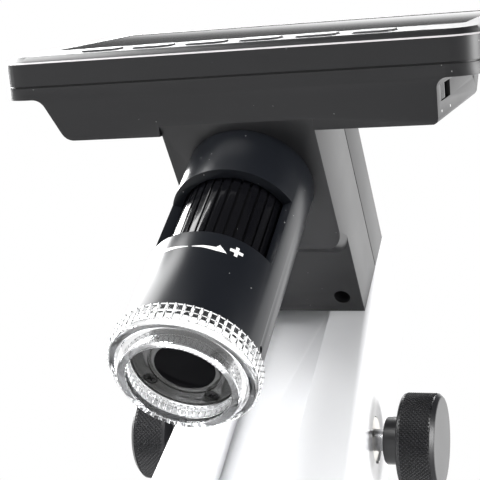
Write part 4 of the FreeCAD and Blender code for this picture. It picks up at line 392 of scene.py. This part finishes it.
# Clear cap. Water-clear acrylic, moulded in one: a grip ring of upright ribs with two rows of
# windows between them, a round shoulder and a narrower skirt with a thick rim.
CAP_RIBS = 56
CAP_STEPS = 8
RIB_RADIUS = 17.7
GAP_RADIUS = 17.4
WINDOW_RADIUS = 17.1
RIB_SPAN = (62.0, 66.3)
WINDOW_SPANS = ((62.3, 63.7), (64.0, 64.95))
RIB_CREASE = 24
clear = finish("clear_acrylic", (0.985, 0.99, 0.995), 0.02, depth=0, mottle=0.0,
               Transmission_Weight=1, IOR=1.49)
# Near-white, mostly opaque finish for the ribs' outer faces: a painted highlight for the light the
# clear ribs catch.
rib_painted_highlight = finish("clear_acrylic_painted_glint", (0.95, 0.955, 0.96), 0.25, grain=0.4, depth=0.01, mottle=0.02,
                    Transmission_Weight=0.2, IOR=1.49)
outline = [(16.55, 64.9), (16.55, 61.95), (17.35, 61.9)]
outline += [(RIB_RADIUS, depth)
            for depth in (62.05, 62.25, 62.35, 63.65, 63.75, 63.95, 64.05, 64.9, 65.0)]
outline += [(17.65, 66.2), (17.3, 66.35), (17.15, 66.4), (17.1, 66.6), (17.0, 66.95),
            (16.8, 67.25), (16.45, 67.5), (16.0, 67.6), (15.55, 67.62), (15.4, 67.75),
            (15.3, 67.95), (14.1, 69.95), (13.95, 70.2), (13.7, 70.36), (12.4, 70.4),
            (12.15, 70.3), (12.05, 70.05), (12.65, 64.9)]
outline = [(radius, BARREL_TOP - depth) for radius, depth in outline + outline[:1]]
cap = turned("cap_clear", outline, BARREL_AXIS, (0, 0, 1), CAP_RIBS * CAP_STEPS)


def between_ribs(co, top, bottom):
    """Points of the ribs' outer face that lie between two ribs, in a range of depths."""
    away = (co - BARREL_AXIS) / MM
    depth = BARREL_TOP - away.z
    if math.hypot(away.x, away.y) < GAP_RADIUS - 0.02 or not top < depth < bottom:
        return False
    step = round(math.atan2(away.y, away.x) / math.tau * CAP_RIBS * CAP_STEPS)
    return step % CAP_STEPS > 1


for inward, spans in ((GAP_RADIUS / RIB_RADIUS, (RIB_SPAN,)),
                      (WINDOW_RADIUS / GAP_RADIUS, WINDOW_SPANS)):
    for top, bottom in spans:
        select_points(cap, lambda co: between_ribs(co, top, bottom))
        bpy.ops.transform.resize(value=(inward, inward, 1), center_override=BARREL_AXIS)
        bpy.ops.object.mode_set(mode="OBJECT")
smooth_by_angle(cap, RIB_CREASE)
wear(cap, clear, rib_painted_highlight)
# Faces on the outside of the ribs get the painted highlight finish.
for face in cap.data.polygons:
    away = (face.center - BARREL_AXIS) / MM
    reach = math.hypot(away.x, away.y)
    on_grip = reach > RIB_RADIUS - 0.1 or abs(reach - GAP_RADIUS) < 0.04
    face.material_index = int(on_grip and BARREL_TOP - away.z < RIB_SPAN[1])
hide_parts("clear_cap")
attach(cap, "cap")

# Monitor shells. Charcoal plastic with a fine spark grain, closing on a dark groove; the front
# shell has a bevelled rim with a crisp, slightly raised outer edge, painted a paler grey as a
# painted highlight along the rim.
MONITOR_FOOT = Vector((-1.5, -43.8, 156)) * MM
TILT = math.radians(60.75)
ALONG = Vector((0, math.cos(TILT), math.sin(TILT)))
OUTWARD = Vector((0, -math.sin(TILT), math.cos(TILT)))
charcoal = finish("charcoal_grain", (0.0075, 0.0075, 0.0085), 0.4, grain=0.22, depth=0.004,
                  dust=0.03, Specular_IOR_Level=0.45)
HALF_WIDTH, HALF_HEIGHT, CORNER = 63.4, 41.0, 9.0
EDGE_LIFT = 0.5
EDGE_ROUND = 0.45
EDGE_WIDTH = 0.6
EDGE_LEVELS = (16.9, 17.9)


def on_monitor(x, v, n):
    """A place given across the monitor, up the display and out towards the viewer, in mm."""
    return MONITOR_FOOT + (Vector((x, 0, 0)) + ALONG * v + OUTWARD * n) * MM


def on_outer_edge(co):
    """Points of the front shell's outer edge, where the side wall turns into the bevel."""
    away = (co - MONITOR_FOOT) / MM
    past_x = abs(away.x) - (HALF_WIDTH - CORNER)
    past_v = abs(away.dot(ALONG) - HALF_HEIGHT) - (HALF_HEIGHT - CORNER)
    reach = math.hypot(past_x, past_v) if past_x > 0 and past_v > 0 else max(past_x, past_v)
    low, high = EDGE_LEVELS
    return reach > CORNER - EDGE_WIDTH and low < away.dot(OUTWARD) < high


back = dress("rear_housing", "monitor_back", 0.3 * MM)
front = dress("front_bezel", "monitor_front")
select_points(front, on_outer_edge)
bpy.ops.transform.translate(value=OUTWARD * EDGE_LIFT * MM)
bpy.ops.object.mode_set(mode="OBJECT")
round_edges(front, EDGE_ROUND * MM)
smooth_by_angle(front)
# Paler grey for the outer edge's faces: a painted highlight, not the plastic's own colour.
rim_painted_highlight = finish("rim_painted_highlight", (0.5, 0.48, 0.49), 0.3, grain=0.22, depth=0.003)
for shell in (back, front):
    wear(shell, charcoal, rim_painted_highlight)
# The faces of the outer edge get the painted highlight.
for face in front.data.polygons:
    face.material_index = int(on_outer_edge(face.center))

# Display. A black glass pane behind the face's opening, over the display module; both stay
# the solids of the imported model.
glass_black = finish("pane_black", (0.008, 0.008, 0.01), 0.03, depth=0)
wear(frame["nodes"]["display_glass"], glass_black)
wear(frame["nodes"]["lcd_module"], glass_black)

# Buttons. Six rounded keys in a row under the display, satin, a hair proud of the face.
button_grey = finish("button_grey", (0.05, 0.05, 0.053), 0.3, grain=0.3, depth=0.006)
for number in range(1, 7):
    button = dress(f"button_{number}", f"key_cap_{number}", 0.1 * MM)
    wear(button, button_grey)

# Power switch. A ridged black slider in a slot in the bulge's end, with a white dot printed at
# each end of its travel.
for node in ("power_switch_body", "power_switch_slider", "key_switches"):
    wear(frame["nodes"][node], barrel_black)
DOT_X = 52.31
DOT_PLACES = ((5.35, -0.17), (17.2, -0.33))
DOT_RADIUS = 0.33
DOT_RIM = 0.08
DOT_RISE = 0.01
for number, (v, n) in enumerate(DOT_PLACES, 1):
    bpy.ops.object.select_all(action="DESELECT")
    bpy.ops.mesh.primitive_circle_add(vertices=20, radius=DOT_RADIUS * MM, fill_type="NGON",
                                      location=on_monitor(DOT_X, v, n),
                                      rotation=(0, math.pi / 2, 0))
    dot = bpy.context.active_object
    dot.name = f"switch_dot_{number}"
    bpy.ops.object.mode_set(mode="EDIT")
    bpy.ops.mesh.select_all(action="SELECT")
    bpy.ops.mesh.inset(thickness=DOT_RIM * MM, depth=DOT_RISE * MM)
    bpy.ops.object.mode_set(mode="OBJECT")
    bpy.ops.object.transform_apply(location=True, rotation=True, scale=True)
    wear(dot, print_white)
    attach(dot, "head")

# Inside the shells. Boards with green lacquer, lamps, a foil-wrapped cell and grey foam; the
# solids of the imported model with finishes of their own.
board_green = finish("board_green", (0.02, 0.12, 0.05), 0.35)
for node in ("led_board", "sensor_board", "main_board", "key_board"):
    wear(frame["nodes"][node], board_green)
lamp_yellow = finish("lamp_yellow", (0.85, 0.8, 0.5), 0.4)
wear(frame["nodes"]["led_lamps"], lamp_yellow)
foil = finish("cell_foil", (0.6, 0.61, 0.63), 0.35, Metallic=1)
wear(frame["nodes"]["battery"], foil)
foam = finish("foam_grey", (0.1, 0.1, 0.1), 0.9)
for node in ("battery_pad", "display_pads"):
    wear(frame["nodes"][node], foam)

# Studio. A grey floor that shows only from above and not through glass, a white world that is
# brightest behind the object, and soft lamps at the left, at the right, in front and above.
FLOOR_SIZE = 3
FLOOR_GREY = 0.28
BEHIND = (0, 0.912, -0.409)
BACKDROP = {"From Min": 0.0345, "From Max": 0.040, "To Min": 0.12, "To Max": 2.0}
bpy.ops.object.select_all(action="DESELECT")
bpy.ops.mesh.primitive_plane_add(size=FLOOR_SIZE, location=(0, 0, 0))
floor = bpy.context.active_object
floor.name = "floor"
paper = bpy.data.materials.new("floor_paper")
paper.use_nodes = True
nodes, links = paper.node_tree.nodes, paper.node_tree.links
sheet = nodes["Principled BSDF"]
sheet.inputs["Base Color"].default_value = (FLOOR_GREY, FLOOR_GREY, FLOOR_GREY, 1)
sheet.inputs["Roughness"].default_value = 0.9
clear_side = nodes.new("ShaderNodeBsdfTransparent")
sides = nodes.new("ShaderNodeMixShader")
unseen = nodes.new("ShaderNodeMath")
unseen.operation = "MAXIMUM"
links.new(nodes.new("ShaderNodeNewGeometry").outputs["Backfacing"], unseen.inputs[0])
links.new(nodes.new("ShaderNodeLightPath").outputs["Is Transmission Ray"], unseen.inputs[1])
links.new(unseen.outputs[0], sides.inputs[0])
links.new(sheet.outputs[0], sides.inputs[1])
links.new(clear_side.outputs[0], sides.inputs[2])
links.new(sides.outputs[0], nodes["Material Output"].inputs["Surface"])
floor.data.materials.append(paper)

world = bpy.data.worlds.new("studio")
bpy.context.scene.world = world
world.use_nodes = True
nodes, links = world.node_tree.nodes, world.node_tree.links
seen = nodes["Background"]
seen.inputs["Color"].default_value = (1, 1, 1, 1)
seen.inputs["Strength"].default_value = 1
lit = nodes.new("ShaderNodeBackground")
heading = nodes.new("ShaderNodeVectorMath")
heading.operation = "DOT_PRODUCT"
heading.inputs[1].default_value = BEHIND
links.new(nodes.new("ShaderNodeTexCoord").outputs["Generated"], heading.inputs[0])
backdrop = nodes.new("ShaderNodeMapRange")
backdrop.interpolation_type = "SMOOTHSTEP"
for socket, value in BACKDROP.items():
    backdrop.inputs[socket].default_value = value
links.new(heading.outputs["Value"], backdrop.inputs["Value"])
links.new(backdrop.outputs[0], lit.inputs["Strength"])
ray = nodes.new("ShaderNodeLightPath")
through = nodes.new("ShaderNodeMath")
through.operation = "MAXIMUM"
links.new(ray.outputs["Is Camera Ray"], through.inputs[0])
links.new(ray.outputs["Is Transmission Ray"], through.inputs[1])
pick = nodes.new("ShaderNodeMixShader")
links.new(through.outputs[0], pick.inputs[0])
links.new(lit.outputs[0], pick.inputs[1])
links.new(seen.outputs[0], pick.inputs[2])
links.new(pick.outputs[0], nodes["World Output"].inputs["Surface"])


def soft_lamp(name, place, size, watts):
    """A softbox that faces the middle of the object."""
    bpy.ops.object.light_add(type="AREA", location=place)
    lamp = bpy.context.active_object
    lamp.name = name
    lamp.data.shape = "RECTANGLE"
    lamp.data.size, lamp.data.size_y = size
    lamp.data.energy = watts
    lamp.rotation_euler = (MIDDLE - Vector(place)).to_track_quat("-Z", "Y").to_euler()
    lamp.visible_camera = False


MIDDLE = Vector((0, 0, 0.14))
soft_lamp("lamp_left", (-0.77, -0.12, 0.75), (1.1, 0.6), 22)
soft_lamp("lamp_right", (0.72, 0.0, 0.16), (0.45, 0.3), 7)
soft_lamp("lamp_front", (-0.36, -0.95, 0.17), (0.85, 0.5), 16)
soft_lamp("lamp_top", (-0.3, 0.1, 1.0), (0.2, 1.0), 8)

# Camera. Held low in front, to the right, looking up at the monitor's lower side; its place and
# turn come from the straight edges and circles of the object in the 480-pixel photograph.
FRAME_PIXELS = 480
FOCAL_PIXELS = 1317.4
SENSOR_WIDTH = 36
YAW, PITCH, ROLL = (math.radians(angle) for angle in (27.49, 44.89, -19.23))
EYE = Vector((107.585, -226.782, -93.114)) * MM
camera_data = bpy.data.cameras.new("camera")
camera_data.sensor_width = SENSOR_WIDTH
camera_data.lens = FOCAL_PIXELS / FRAME_PIXELS * SENSOR_WIDTH
camera_data.clip_start = 0.01
camera = bpy.data.objects.new("camera", camera_data)
bpy.context.collection.objects.link(camera)
ahead = Vector((-math.sin(YAW) * math.cos(PITCH), math.cos(YAW) * math.cos(PITCH),
                math.sin(PITCH)))
level_line = Vector((math.cos(YAW), math.sin(YAW), 0))
under = ahead.cross(level_line)
right = math.cos(ROLL) * level_line + math.sin(ROLL) * under
down = -math.sin(ROLL) * level_line + math.cos(ROLL) * under
turn = Matrix((right, -down, -ahead)).transposed().to_4x4()
camera.matrix_world = Matrix.Translation(EYE) @ turn
bpy.context.scene.camera = camera
bpy.context.scene.view_settings.view_transform = "Standard"
